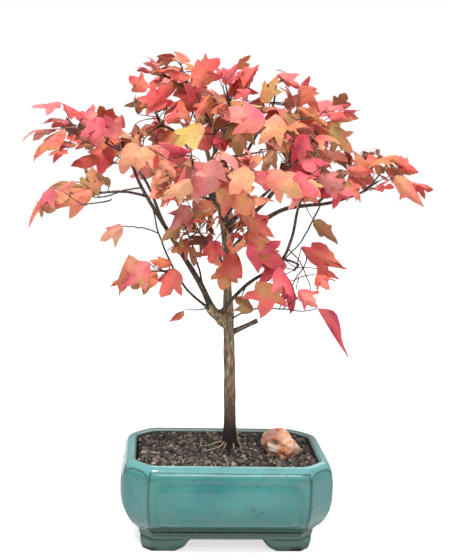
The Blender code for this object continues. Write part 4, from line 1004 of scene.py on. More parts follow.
    def grow(self, mass):
        """A mass's stem, outline leaves and seeded leaves as in its solid, then the finer ones between."""
        self.walls = cell_walls(mass)
        self.random = random.Random(mass.seed)
        self.tints = random.Random(mass.seed)
        self.twigs, self.joints, self.placed_twigs, self.placed_blades = [], [], [], []
        self.add_stem(mass)
        leads = sorted(self.leads[mass.name], key=lambda row: length_of(row[0].foot - self.start))
        late = self.free[mass.name] + self.free_front[mass.name]
        late += [(leaf, tint) for leaf, tint in leads if not self.add_leaf(mass, leaf, True, tint)]
        self.fill(mass, mass.leaves, taken=[leaf.foot for leaf, _ in leads])
        self.random = random.Random(mass.seed + FINER_SEED)
        for leaf, tint in late:
            self.add_leaf(mass, leaf, True, tint, strict=False)
        for leaf, tint in self.front[mass.name]:
            near = [leaf._replace(foot=leaf.foot + unit(leaf.foot - EYE) * step) for step in FRONT_STEPS]
            if not any(self.add_leaf(mass, option, True, tint) for option in near):
                self.add_leaf(mass, near[-1], True, tint, strict=False)
        self.fill(mass, mass.finer, FINER_SIZE)
        # Small leaves deep inside, mostly in dark tints: autumn colour and painted shade of the crown's
        # inside
        self.random = random.Random(mass.seed + SHADE_SEED)
        if mass.leaves > FEW_LEAVES:
            self.fill(mass, SHADE_LEAVES, SHADE_SIZE, SHADE_REACH, SHADE_TINTS)
        roots = [min(TWIG_RADIUS * max(count, 1) ** TWIG_SWELL, TWIG_MOST) for count in self.loads()]
        return list(zip(self.twigs, roots))


def in_metres(points):
    """Points of the plant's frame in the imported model's own frame."""
    return (np.asarray(points) + PLANT_SHIFT) * METRES


def soft_noise(points, lengths, seed):
    """Soft noise about 0: a scaled sum of four sines along random directions for each wavelength."""
    pick = np.random.default_rng(seed)
    total = np.zeros(points.shape[:-1])
    for length in lengths:
        for way in units(pick.normal(size=(4, 3))):
            total = total + np.sin(points @ way * (2 * math.pi / length) + pick.uniform(0, 2 * math.pi))
    return total / (2 * len(lengths))


def grid_quads(rows, columns):
    """Faces of a grid whose columns close on themselves: each cell from its corner, the next, and above."""
    level = np.arange(rows - 1)[:, None] * columns
    here = (level + np.arange(columns)).ravel()
    after = (level + (np.arange(columns) + 1) % columns).ravel()
    return np.stack((here, after, after + columns, here + columns), axis=1)


def closed_surface(rings):
    """Corners, four-sided and three-sided faces of a grid of rings, closed by a pole at each end."""
    rows, columns, _ = rings.shape
    corners = np.vstack((rings.reshape(-1, 3), rings[0].mean(axis=0), rings[-1].mean(axis=0)))
    here = np.arange(columns)
    after = (here + 1) % columns
    last = (rows - 1) * columns
    foot = np.full(columns, rows * columns)
    low = np.stack((after, here, foot), axis=1)
    high = np.stack((last + here, last + after, foot + 1), axis=1)
    return corners, grid_quads(rows, columns), np.vstack((low, high))


def joined(surfaces):
    """Many surfaces as one: their corners one after another, and their faces counted on."""
    counts = np.cumsum([0] + [len(surface[0]) for surface in surfaces])
    corners = np.vstack([surface[0] for surface in surfaces])
    quads, triangles = (
        np.vstack([surface[kind] + first for surface, first in zip(surfaces, counts)]) for kind in (1, 2))
    return corners, quads, triangles


def in_scene(name, data):
    """A new object at the origin, linked to the scene."""
    made = bpy.data.objects.new(name, data)
    bpy.context.scene.collection.objects.link(made)
    return made


def piece(name, surface, material, stands_for, smooth=True, fields=None):
    """A finished piece at the origin from a surface in millimetres, riding on the plant's body."""
    corners, quads, triangles = surface
    mesh = bpy.data.meshes.new(name)
    mesh.from_pydata(in_metres(corners).tolist(), [], quads.tolist() + triangles.tolist())
    mesh.polygons.foreach_set("use_smooth", np.full(len(mesh.polygons), smooth))
    for label, values in (fields or {}).items():
        mesh.attributes.new(label, "FLOAT", "POINT").data.foreach_set("value", values.astype(np.float32))
    mesh.materials.append(material)
    made = in_scene(name, mesh)
    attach(made, BODY)
    if stands_for:
        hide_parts(*stands_for)
    return made


def tube_rings(line, radii, sides, relief=0.0):
    """Rings carried along a line: at each point a circle of its radius, square to the line there.

    A ring's point is the line's point plus across times cosine plus beside times sine of its angle,
    times the radius and one plus the relief. Across is one fixed direction made square to the line.
    """
    ways = units(np.gradient(line, axis=0))
    mean = unit(line[-1] - line[0])
    guide = np.eye(3)[np.argmin(np.abs(mean))]
    across = units(guide - ways * (ways @ guide)[:, None])
    beside = np.cross(ways, across)
    angles = around(sides)
    reach = np.asarray(radii)[:, None] * (1 + relief)
    return (
        line[:, None] + across[:, None] * (np.cos(angles) * reach)[..., None]
        + beside[:, None] * (np.sin(angles) * reach)[..., None]
    )


def closed_tube(line, radii, sides=TWIG_RING, relief=0.0):
    """A tube along the line, closed at both ends."""
    return closed_surface(tube_rings(line, radii, sides, relief))


def sway(line, lengths, seed):
    """Soft noise along each axis at the line's points."""
    return np.stack([soft_noise(line, lengths, seed + axis) for axis in range(3)], axis=1)


# Node groups that several materials share


def added(tree, kind, inputs, **settings):
    """A new shader node: its settings, then each input linked to a socket or given a value; its outputs."""
    node = tree.nodes.new("ShaderNode" + kind)
    for label, value in settings.items():
        setattr(node, label, value)
    for label, value in inputs.items():
        if isinstance(value, bpy.types.NodeSocket):
            tree.links.new(value, node.inputs[label])
        else:
            node.inputs[label].default_value = value
    return node.outputs


def mask_group(name, values):
    """A new group with a vector and the named values in and one mask out, and the sockets inside it."""
    tree = bpy.data.node_groups.new(name, "ShaderNodeTree")
    tree.interface.new_socket("Vector", in_out="INPUT", socket_type="NodeSocketVector")
    for label, value in values.items():
        socket = tree.interface.new_socket(label, in_out="INPUT", socket_type="NodeSocketFloat")
        socket.default_value = value
    tree.interface.new_socket("Mask", in_out="OUTPUT", socket_type="NodeSocketFloat")
    return tree, tree.nodes.new("NodeGroupInput").outputs, tree.nodes.new("NodeGroupOutput").inputs


def mottle_group():
    """Mottling: fractal noise at a scale, stretched so that From becomes 0 and To becomes 1."""
    tree, given, result = mask_group("mottle", {"Scale": 100.0, "Detail": 4.0, "From": 0.35, "To": 0.65})
    noise = added(tree, "TexNoise", {label: given[label] for label in ("Vector", "Scale", "Detail")})
    spread = added(tree, "MapRange", {
        "Value": noise["Fac"], "From Min": given["From"], "From Max": given["To"]})
    tree.links.new(spread["Result"], result["Mask"])


def speck_group():
    """Specks: small round spots of a random pattern of cells, kept only in some of the cells."""
    tree, given, result = mask_group("specks", {"Scale": 100.0, "Size": 0.1, "Rarity": 0.8})
    cells = added(tree, "TexVoronoi", {label: given[label] for label in ("Vector", "Scale")})
    small = added(tree, "Math", {0: cells["Distance"], 1: given["Size"]}, operation="LESS_THAN")
    rare = added(tree, "Math", {0: cells["Color"], 1: given["Rarity"]}, operation="GREATER_THAN")
    both = added(tree, "Math", {0: small[0], 1: rare[0]}, operation="MULTIPLY")
    tree.links.new(both[0], result["Mask"])


class Paint:
    """A material being made: its nodes, the inputs of its shader, and the colour as far as it has come."""

    def __init__(self, name, colour, roughness, coat=0.0):
        self.material = bpy.data.materials.new(name)
        self.material.use_nodes = True
        self.material.diffuse_color = (*colour, 1.0)
        self.tree = self.material.node_tree
        self.shader = self.tree.nodes["Principled BSDF"].inputs
        self.shader["Base Color"].default_value = (*colour, 1.0)
        self.shader["Roughness"].default_value = roughness
        self.shader["Coat Weight"].default_value = coat
        self.place = added(self.tree, "TexCoord", {})["Object"]
        self.colour = (*colour, 1.0)

    def shared(self, group, vector, values):
        """The mask of a shared group placed in this material with its own values."""
        node_tree = bpy.data.node_groups[group]
        return added(self.tree, "Group", {"Vector": vector, **values}, node_tree=node_tree)["Mask"]

    def mottle(self, scale, detail, low=0.35, high=0.65, stretch=None):
        """A mottle of a scale and detail, with the place stretched by a factor along each axis."""
        vector = self.place
        if stretch:
            vector = added(self.tree, "Mapping", {"Scale": stretch, "Vector": vector})["Vector"]
        return self.shared("mottle", vector, {"Scale": scale, "Detail": detail, "From": low, "To": high})

    def specks(self, scale, size, rarity):
        """Specks of a scale, a size and a rarity."""
        return self.shared("specks", self.place, {"Scale": scale, "Size": size, "Rarity": rarity})

    def field(self, label):
        """A number that the piece's own mesh carries at each point."""
        return added(self.tree, "Attribute", {}, attribute_name=label)["Fac"]

    def height(self, low, high):
        """A mask that runs from 0 at the first height to 1 at the second, both in millimetres."""
        level = added(self.tree, "SeparateXYZ", {"Vector": self.place})["Z"]
        limits = {"Value": level, "From Min": low * METRES, "From Max": high * METRES}
        return added(self.tree, "MapRange", limits, interpolation_type="SMOOTHSTEP")["Result"]

    def ramp(self, mask, *stops):
        """Makes the colour a ramp over the mask, from stops of a position and a colour each."""
        outputs = added(self.tree, "ValToRGB", {"Fac": mask})
        elements = outputs[0].node.color_ramp.elements
        for element, (position, *colour) in zip(elements, (stops[0], stops[-1])):
            element.position, element.color = position, (*colour, 1.0)
        for position, *colour in stops[1:-1]:
            elements.new(position).color = (*colour, 1.0)
        self.colour = outputs["Color"]

    def over(self, mask, colour, share=1.0):
        """Lays another colour over the one so far, as much as the mask times the share says."""
        if share != 1.0:
            mask = added(self.tree, "Math", {0: mask, 1: share}, operation="MULTIPLY")[0]
        inputs = {"Factor": mask, 6: self.colour, 7: (*colour, 1.0)}
        self.colour = added(self.tree, "Mix", inputs, data_type="RGBA")[2]

    def finished(self, height=None, distance=0.0, strength=0.0):
        """Links the colour and a bump of the height, and hands back the material."""
        self.tree.links.new(self.colour, self.shader["Base Color"])
        if height is not None:
            inputs = {"Strength": strength, "Distance": distance, "Height": height}
            self.tree.links.new(added(self.tree, "Bump", inputs)["Normal"], self.shader["Normal"])
        return self.material


def glaze():
    """Turquoise glaze: clouded, greener in places, dark and brown low down with painted shade that darkens
    the wall towards its foot, paler towards the rim as a painted highlight, and pale inside as painted light.

    Then rust, dark pools in the grooves, specks, dark lines at the mouth and the foot, painted shade down
    the inside and below the panel, and the bare clay of the feet.
    """
    paint = Paint("turquoise_glaze", (0.05, 0.22, 0.215), 0.16, coat=0.25)
    clouds = paint.mottle(24.0, 4.0, 0.3, 0.7)
    paint.ramp(clouds, (0.0, 0.022, 0.165, 0.17), (0.6, 0.04, 0.222, 0.22), (1.0, 0.062, 0.262, 0.245))
    paint.over(paint.mottle(16.0, 2.0, 0.46, 0.7, (1.0, 1.0, 0.5)), (0.062, 0.225, 0.178), 0.45)
    # Painted shade: the wall darkens from 78 mm down to 30 mm, as if lit from above
    paint.over(paint.height(78.0, 30.0), (0.04, 0.15, 0.14), 0.75)
    # Painted highlight: the glaze pales from 98 mm up to the rim
    paint.over(paint.height(98.0, 111.0), (0.15, 0.395, 0.39), 0.9)
    paint.over(paint.height(34.0, 26.0), (0.05, 0.085, 0.062), 0.82)
    paint.over(paint.height(24.0, 16.0), (0.07, 0.15, 0.13), 0.75)
    paint.over(paint.mottle(70.0, 5.0, 0.5, 0.75), (0.115, 0.19, 0.15), 0.4)
    # Painted light: the inside is made far paler than the outer glaze
    paint.over(paint.field("inner"), (0.64, 0.86, 0.84), 0.92)
    # Dark pools in the grooves, specks, lines at mouth and foot, and painted shade inside and below the panel
    paint.over(paint.field("groove"), (0.022, 0.03, 0.03), 0.92)
    paint.over(paint.specks(88.0, 0.075, 0.66), (0.012, 0.02, 0.02), 0.85)
    bare = paint.field("bare")
    paint.over(bare, (0.022, 0.016, 0.014))
    roughness = added(paint.tree, "MapRange", {"Value": bare, "To Min": 0.15, "To Max": 0.85})["Result"]
    paint.tree.links.new(roughness, paint.shader["Roughness"])
    return paint.finished(paint.mottle(55.0, 2.0, 0.2, 0.8), 0.0008, 0.3)


def soil_grain():
    """Fired clay granules: each from charcoal to tan by its own tone, with a dusty mottle and pits."""
    paint = Paint("soil_granules", (0.09, 0.07, 0.055), 0.92)
    paint.ramp(
        paint.field("tone"), (0.0, 0.012, 0.011, 0.01), (0.25, 0.034, 0.029, 0.026),
        (0.55, 0.12, 0.096, 0.078), (0.8, 0.29, 0.235, 0.185), (1.0, 0.56, 0.47, 0.37))
    paint.over(paint.mottle(420.0, 4.0, 0.4, 0.75), (0.23, 0.185, 0.15), 0.25)
    return paint.finished(paint.mottle(1100.0, 3.0), 0.0004, 0.6)


def soil_bed():
    """The dark fines between the granules, near black: their own colour and painted shade in the gaps."""
    paint = Paint("soil_fines_and_shade", (0.012, 0.01, 0.008), 0.97)
    dust = paint.mottle(650.0, 5.0)
    paint.ramp(dust, (0.0, 0.005, 0.004, 0.004), (1.0, 0.024, 0.018, 0.014))
    return paint.finished(dust, 0.0008, 0.8)


def peach_rock():
    """Weathered orange rock: peach with paler parts, a plum-brown shoulder, a quartz knob, dark specks, and
    painted shade in a dent.
    """
    paint = Paint("peach_stone", (0.74, 0.36, 0.2), 0.7)
    base = paint.mottle(75.0, 7.0, 0.34, 0.66)
    paint.ramp(
        base, (0.0, 0.36, 0.11, 0.055), (0.3, 0.66, 0.235, 0.105), (0.6, 0.82, 0.39, 0.2),
        (1.0, 0.9, 0.64, 0.48))
    paint.over(paint.mottle(120.0, 4.0, 0.56, 0.66), (0.88, 0.78, 0.7), 0.7)
    paint.over(paint.field("plum"), (0.27, 0.12, 0.105), 0.85)
    paint.over(paint.field("quartz"), (0.92, 0.8, 0.69), 0.95)
    paint.over(paint.specks(230.0, 0.2, 0.7), (0.13, 0.045, 0.028), 0.7)
    # Painted shade: the dent is darkened almost to black
    paint.over(paint.field("shaded_dent"), (0.06, 0.022, 0.018), 0.9)
    return paint.finished(base, 0.0022, 0.8)


def trunk_bark():
    """Grey-tan mottled bark with upright fissures, dark and reddish near the soil."""
    paint = Paint("maple_bark", (0.22, 0.16, 0.1), 0.85)
    streaks = paint.mottle(420.0, 5.0, 0.36, 0.66, (1.0, 1.0, 0.22))
    paint.ramp(
        streaks, (0.0, 0.11, 0.072, 0.044), (0.4, 0.255, 0.18, 0.105), (0.75, 0.385, 0.29, 0.175),
        (1.0, 0.52, 0.425, 0.285))
    paint.over(paint.mottle(95.0, 4.0, 0.48, 0.66), (0.15, 0.09, 0.055), 0.55)
    paint.over(paint.height(225.0, 135.0), (0.08, 0.042, 0.03), 0.85)
    paint.over(paint.height(160.0, 128.0), (0.01, 0.005, 0.005), 0.96)
    return paint.finished(streaks, 0.0011, 0.8)


def bough_bark():
    """Darker, smoother bark of the boughs and twigs, with pale grey bloom."""
    paint = Paint("bough_bark", (0.12, 0.085, 0.06), 0.8)
    streaks = paint.mottle(330.0, 5.0, 0.36, 0.66)
    paint.ramp(streaks, (0.0, 0.018, 0.011, 0.009), (0.5, 0.058, 0.038, 0.029), (1.0, 0.15, 0.112, 0.088))
    paint.over(paint.mottle(120.0, 3.0, 0.52, 0.72), (0.18, 0.145, 0.122), 0.4)
    return paint.finished(streaks, 0.0005, 0.7)


def stub_bark():
    """Grey-brown bark of the sawn branch, darker at its swollen end."""
    paint = Paint("stub_bark", (0.16, 0.12, 0.09), 0.85)
    streaks = paint.mottle(380.0, 5.0, 0.34, 0.66)
    paint.ramp(streaks, (0.0, 0.045, 0.03, 0.022), (0.5, 0.15, 0.112, 0.08), (1.0, 0.33, 0.27, 0.205))
    paint.over(paint.height(269.0, 277.0), (0.06, 0.044, 0.036), 0.7)
    return paint.finished(streaks, 0.0006, 0.8)


def cut_wood():
    """Weathered grey-tan wood of the bare roots."""
    paint = Paint("weathered_wood", (0.45, 0.32, 0.22), 0.8)
    streaks = paint.mottle(600.0, 5.0, 0.3, 0.7)
    paint.ramp(streaks, (0.0, 0.24, 0.15, 0.095), (1.0, 0.56, 0.41, 0.29))
    return paint.finished(streaks, 0.0004, 0.6)


def leaf_stalk():
    """Slim stalks, wine red to pink."""
    paint = Paint("leaf_stalk", (0.34, 0.1, 0.09), 0.6)
    tone = paint.mottle(60.0, 3.0)
    paint.ramp(tone, (0.0, 0.15, 0.045, 0.035), (1.0, 0.46, 0.185, 0.15))
    return paint.finished(tone, 0.0002, 0.3)


def leaf_tint(name):
    """One autumn tint, softly mottled with a near tone, on a finely blistered, slightly waxy blade."""
    base, near, _ = TINTS[name]
    paint = Paint(name + "_leaf", base, LEAF_ROUGHNESS)
    paint.shader["Specular IOR Level"].default_value = LEAF_SHINE
    paint.over(paint.mottle(34.0, 4.0, 0.42, 0.62), near)
    paint.over(paint.mottle(190.0, 4.0, 0.52, 0.74), [FLECK_SHADE * part for part in base], 0.45)
    return paint.finished(paint.mottle(150.0, 4.0, 0.3, 0.7), 0.0014, 0.55)


def studio_floor():
    """Plain pale floor with a faint unevenness, which glows for the camera alone."""
    paint = Paint("pale_floor", (0.92, 0.92, 0.92), 0.8)
    paint.ramp(paint.mottle(3.0, 2.0), (0.0, 0.915, 0.915, 0.915), (1.0, 0.93, 0.93, 0.93))
    seen = added(paint.tree, "LightPath", {})["Is Camera Ray"]
    paint.tree.links.new(seen, paint.shader["Emission Color"])
    paint.shader["Emission Strength"].default_value = FLOOR_GLOW
    return paint.finished()


# The pot


def outline_corners(inset, bulge=0.0):
    """The eight corners of the pot's outline for each inset; the bulge moves out all but the long sides."""
    inset, bulge = np.reshape(inset, (-1, 1)), np.reshape(bulge, (-1, 1))
    x, y = POT_WIDTH / 2 - inset + bulge, POT_DEPTH / 2 - inset + 0 * bulge
    cut = POT_CORNER - (2 - math.sqrt(2)) * inset - (math.sqrt(2) - 1) * bulge
    half_x = np.hstack((x, x - cut, cut - x, -x))
    half_y = np.hstack((y - cut, y, y, y - cut))
    return np.stack((np.hstack((half_x, -half_x)), np.hstack((half_y, -half_y))), axis=-1)


def side_lengths(inset, bulge):
    """The lengths of the eight sides of an outline."""
    corners = outline_corners(inset, bulge)[0]
    return np.linalg.norm(np.roll(corners, -1, axis=0) - corners, axis=1)


def outline_columns():
    """For each column of the pot's grid: its side's number, its share along it, and the kind of side.

    Shares are even steps less a sine wave, so that columns stand closer near a side's ends.
    """
    kinds = np.array(SIDE_KINDS)
    counts = np.array(SIDE_COLUMNS)[kinds]
    even = np.concatenate([np.arange(count) / count for count in counts])
    along = even - COLUMNS_DRAWN * np.sin(2 * math.pi * even) / (2 * math.pi)
    return np.repeat(np.arange(len(kinds)), counts), along, np.repeat(kinds, counts)


def softened(rings, passes):
    """Each ring after a repeated mean of each point with its neighbours, weighted one, two, one."""
    for _ in range(passes):
        rings = (np.roll(rings, 1, axis=1) + 2 * rings + np.roll(rings, -1, axis=1)) / 4
    return rings


def outline_rings(levels):
    """Rings of the pot, one for each (height, inset, bulge): straight sides, corners rounder at the rim."""
    heights, insets, bulges = np.array([tuple(level) + (0.0,) * (3 - len(level)) for level in levels]).T
    corners = outline_corners(insets, bulges)
    numbers, along, _ = outline_columns()
    first, second = corners[:, numbers], corners[:, (numbers + 1) % 8]
    crisp = softened(first + (second - first) * along[:, None], EDGE_SOFTENING)
    low, high = RIM_LEVELS
    share = step_up((heights - low) / (high - low))[:, None, None]
    flat = crisp + (softened(crisp, RIM_SOFTENING) - crisp) * share
    tall = np.broadcast_to(heights[:, None, None], flat.shape[:2] + (1,))
    return np.concatenate((flat, tall), axis=-1)


def bell(distance, width):
    """A bell curve of the distance."""
    return np.exp(-(distance / width) ** 2)


def step_up(value):
    """A smooth step from 0 at 0 to 1 at 1."""
    value = np.clip(value, 0.0, 1.0)
    return value * value * (3 - 2 * value)


def wall_relief(rings):
    """How far the outer wall stands out of its plain profile, less its grooves, and how dark its glaze is.

    The panel is a rounded rectangle raised by a smooth step over its edge. Grooves are bell curves:
    under the shoulder, above the foot, and up both edges of each cut corner. The glaze is dark in the
    grooves and specks, along the foot line, and in a soft line round the panel, which painted shade
    deepens below the panel's middle.
    """
    numbers, along, kinds = outline_columns()
    lengths = side_lengths(0.0, 0.0)[numbers]
    across = (along - 0.5) * lengths
    to_edge = lengths / 2 - np.abs(across)
    height = rings[..., 2]
    panel_half = np.array(PANEL_HALF + (0.0,))[kinds]
    low, high = PANEL_LEVELS
    out_x = np.abs(across) - panel_half + PANEL_CORNER
    out_z = np.abs(height - (low + high) / 2) - (high - low) / 2 + PANEL_CORNER
    distance = np.hypot(np.maximum(out_x, 0), np.maximum(out_z, 0)) - PANEL_CORNER
    distance = distance + np.minimum(np.maximum(out_x, out_z), 0)
    on_panel = kinds < 2
    relief = PANEL_RISE * step_up(-distance / PANEL_EDGE) * on_panel
    dip, place, width = PANEL_DIP
    relief = relief - dip * bell(distance - place, width) * on_panel
    shoulder = GROOVE_LEVEL - GROOVE_DIP * (kinds == 2) * (np.abs(across) / (lengths / 2)) ** 5
    groove = bell(height - shoulder, GROOVE_WIDTH)
    upright = bell(to_edge - np.where(kinds == 2, 0.0, GROOVE_SIDE), GROOVE_WIDTH)
    within = step_up((height - GROOVE_FOOT) / 2) * step_up((shoulder - height) / 2 + 1)
    groove = np.maximum(groove, upright * within)
    foot_line = bell(height - GROOVE_FOOT, FOOT_LINE_WIDTH) * on_panel
    middle, swing, breaks, seed = LINE_BREAKS
    broken = middle + swing * soft_noise(rings, breaks, seed)
    shares_dark = np.where(kinds == 2, 1.0, np.clip(broken, LINE_LEAST, 1.0))
    least, more, reach, line_at, line_width = PANEL_LINE_AND_SHADE
    # Painted shade: the line round the panel darkens below the panel's middle
    below = step_up(((low + high) / 2 - height) / reach)
    soft = least + more * below * np.clip(broken, 0.0, 1.0)
    dark = np.maximum.reduce((
        GROOVE_DARK * groove * shares_dark, FOOT_LINE_DARK * foot_line, GROOVE_DARK * upright * within,
        GROOVE_DARK * wall_specks(rings, kinds), soft * bell(distance - line_at, line_width) * on_panel))
    return relief - GROOVE_DEPTH * groove, dark


def wall_specks(rings, kinds):
    """Dark specks in the glaze: bell curves of the distance from places picked at random on the wall."""
    pick = np.random.default_rng(SPECK_SEED)
    inside = np.flatnonzero((rings[:, 0, 2] > PANEL_LEVELS[0]) & (rings[:, 0, 2] < GROOVE_LEVEL))
    specks = np.zeros(rings.shape[:2])
    for chosen, count in ((kinds == 2, CORNER_SPECKS), (kinds < 2, SIDE_SPECKS)):
        columns = np.flatnonzero(chosen)
        for row, column in zip(pick.choice(inside, count), pick.choice(columns, count)):
            away = np.linalg.norm(rings - rings[row, column], axis=-1)
            specks = np.maximum(specks, bell(away, pick.uniform(*SPECK_SIZE)))
    return specks


def pot_body():
    """The pot's body as one closed surface: underside, outer wall, rolled mouth, inside and its floor."""
    profile = np.array(POT_WALL)
    run = run_of(profile[:, :2])
    even = np.linspace(0, run[-1], round(run[-1] / WALL_STEP) + 1)
    levels = np.stack([np.interp(even, run, column) for column in profile.T], axis=1)
    for _ in range(2):
        levels[1:-1] = (levels[:-2] + 2 * levels[1:-1] + levels[2:]) / 4
    wall = outline_rings(levels)
    relief, dark = wall_relief(wall)
    ways = np.roll(wall, -1, axis=1) - np.roll(wall, 1, axis=1)
    out = units(np.stack((ways[..., 1], -ways[..., 0], np.zeros(ways.shape[:2])), axis=-1))
    wobble = WALL_WOBBLE * soft_noise(wall, WOBBLE_LENGTHS, 5)
    fade = step_up((POT_HEIGHT - 1.0 - wall[..., 2]) / 6)
    wall = wall + out * ((relief + wobble) * fade)[..., None]
    mouth = bell(np.linspace(0, run[-1], len(levels)) - run[-1], MOUTH_WIDTH)[:, None]
    dark = np.maximum(dark * fade, MOUTH_DARK * mouth)
    inside = outline_rings(POT_INSIDE)
    base = outline_rings([(FOOT_HEIGHT, inset) for inset in BASE_INSETS])
    rings = np.concatenate((base, wall, inside))
    mouth_row = len(base) + len(wall)
    shape = rings.shape[:2]
    fields = {name: np.zeros(shape) for name in ("groove", "bare", "inner")}
    fields["groove"][len(base):mouth_row] = dark
    # Painted shade: the inside darkens from a little below the mouth down to the soil
    fields["groove"][mouth_row:mouth_row + len(INSIDE_LINE_AND_SHADE)] = np.array(INSIDE_LINE_AND_SHADE)[:, None]
    fields["bare"][:len(base)] = 1.0
    # The inside takes the pale colour that paints light on it
    fields["inner"][mouth_row:] = 1.0
    poles = {"groove": (0, 1), "bare": (1, 0), "inner": (0, 1)}
    fields = {name: np.append(grid.ravel(), poles[name]) for name, grid in fields.items()}
    return closed_surface(rings), fields


def arch_height(across, kinds):
    """The height of a foot's lower edge over the table, from how far it is from its side's middle.

    It is the inverse of the arch's own curve: a straight rise with one sine wave laid over it, which
    gives the scalloped edge.
    """
    steps = np.linspace(0, 1, ARCH_STEPS)
    curve = steps + ARCH_SCALLOP * np.sin(2 * math.pi * steps)
    height = np.zeros(len(across))
    for kind, (low, high) in enumerate(ARCH_SPANS):
        reach = (low - np.abs(across)) / (low - high)
        here = np.interp(reach, curve, steps) * (FOOT_HEIGHT + ARCH_PAST)
        height = np.where((kinds == kind) & (reach > 0), here, height)
    return height


def pot_feet():
    """The four feet as one closed band round the pot: outer face, rounded lower edge, underside, back.

    The band's lower edge rises by arch_height into the pot's body between the feet.
    """
    numbers, along, kinds = outline_columns()
    rings = outline_rings([(height, inset, FOOT_BULGE) for height, inset, _, _ in FOOT_SECTION])
    arch = arch_height((along - 0.5) * side_lengths(FOOT_INSET, FOOT_BULGE)[numbers], kinds)
    rings[..., 2] = arch + rings[..., 2] * (FOOT_TOP - arch) / FOOT_TOP
    rings = np.concatenate((rings[::-1], rings[-1:]))
    quads = grid_quads(*rings.shape[:2])
    levels = np.array(FOOT_SECTION)[::-1, 2:].T
    bare, line = (np.append(level, level[0])[:, None] + 0 * rings[..., 2] for level in levels)
    front = rings[..., 1] < 0
    steep, down = BARE_EDGE
    for x, width in BARE_SPOTS:
        spot = bell(rings[..., 0] - x, width) * bell(rings[..., 2], BARE_HEIGHT) * front
        bare = np.maximum(bare, np.clip(steep * spot - down, 0.0, 1.0))
    fields = {"groove": line.ravel(), "bare": bare.ravel(), "inner": 0 * line.ravel()}
    return (rings.reshape(-1, 3), quads, np.zeros((0, 3), int)), fields


def build_pot():
    """The pot's body and the band of its feet as one glazed piece."""
    body, body_fields = pot_body()
    feet, feet_fields = pot_feet()
    fields = {name: np.concatenate((body_fields[name], feet_fields[name])) for name in body_fields}
    piece("pot_glazed", joined([body, feet]), glaze(), ["pot"], fields=fields)


# The soil and the stone


def soil_height(x, y):
    """The soil's surface: a low mound round the trunk on a level bed."""
    start = TRUNK_LINE[0]
    spread = (x - start[0]) ** 2 / SOIL_SPREAD[0] ** 2 + (y - start[1]) ** 2 / SOIL_SPREAD[1] ** 2
    return SOIL_EDGE + SOIL_MOUND * np.minimum(1.0, SOIL_CROWN * np.exp(-spread))


def soil_hollow(x, y):
    """How low the soil lies between its lumps: a cone round each lump of a grid of triangles.

    One point of the grid in three is a lump. Near the trunk and the stone there are no hollows.
    """
    most = round(POT_WIDTH / SOIL_STEP)
    steps = np.arange(-most, most + 1)
    i, j = (grid.ravel() for grid in np.meshgrid(steps, steps))
    lumps = (i - j) % 3 == 0
    lump_x = (TRUNK_LINE[0][0] + SOIL_STEP * (i + j / 2))[lumps]
    lump_y = (TRUNK_LINE[0][1] + SOIL_STEP * j * math.sqrt(3) / 2)[lumps]
    apart = np.hypot(np.ravel(x)[:, None] - lump_x, np.ravel(y)[:, None] - lump_y).min(axis=1)
    low = np.minimum(apart.reshape(np.shape(x)) / (SOIL_STEP * HOLLOW_REACH), 1.0)
    for middle in (TRUNK_LINE[0], STONE_AT):
        away = np.hypot(x - middle[0], y - middle[1]) - SOIL_LEVEL
        low = low * step_up(away / SOIL_STEP + 0.5)
    return SOIL_HOLLOW * low


def wall_gap(x, y):
    """How far each point lies from the pot's inner wall: the least of its distances to the eight sides."""
    cut = POT_CORNER - (2 - math.sqrt(2)) * WALL_INSET
    half_x, half_y = WALL_HALF
    corner = (half_x + half_y - cut - np.abs(x) - np.abs(y)) / math.sqrt(2)
    return np.minimum(np.minimum(half_x - np.abs(x), half_y - np.abs(y)), corner)


def soil_top(x, y):
    """The soil's top: its mound, less the hollows, less the droop at the wall."""
    droop = EDGE_DROOP * step_up(1 - wall_gap(x, y) / EDGE_WIDTH)
    return soil_height(x, y) - soil_hollow(x, y) - droop


def build_soil_bed():
    """The bed fills the pot: the pot's inside set in by a gap, then rings drawn in over the top."""
    levels = [(height, inset + SOIL_GAP) for height, inset in POT_INSIDE[::-1] if height <= BED_SIDES_TO]
    edge = outline_rings([(SOIL_EDGE - BED_BELOW, WALL_INSET + SOIL_GAP)])[0]
    centre = np.array((TRUNK_LINE[0][0], TRUNK_LINE[0][1], 0.0))
    part = np.linspace(1.0, BED_MIDDLE, BED_RINGS)[:, None, None]
    top = centre + (edge - centre) * np.concatenate((part, part, np.ones_like(part)), axis=-1)
    lumps = BED_LUMPS * soft_noise(top, BED_LUMP_LENGTHS, 8)
    top[..., 2] = soil_top(top[..., 0], top[..., 1]) - BED_BELOW + lumps
    rings = np.concatenate((outline_rings(levels), top))
    piece("soil_bed", closed_surface(rings), soil_bed(), ["soil"])


def grain_shape():
    """The twelve corners and twenty faces of an icosahedron."""
    golden = (1 + math.sqrt(5)) / 2
    four = np.array([(x, y, 0) for y in (golden, -golden) for x in (-1, 1)])
    corners = np.vstack([np.roll(four, turn, axis=1) for turn in range(3)]) / math.sqrt(1 + golden ** 2)
    faces = np.array([
        (0, 11, 5), (0, 5, 1), (0, 1, 7), (0, 7, 10), (0, 10, 11), (1, 5, 9), (5, 11, 4), (11, 10, 2),
        (10, 7, 6), (7, 1, 8), (3, 9, 4), (3, 4, 2), (3, 2, 6), (3, 6, 8), (3, 8, 9), (4, 9, 5), (2, 4, 11),
        (6, 2, 10), (8, 6, 7), (9, 8, 1),
    ])
    return corners, faces


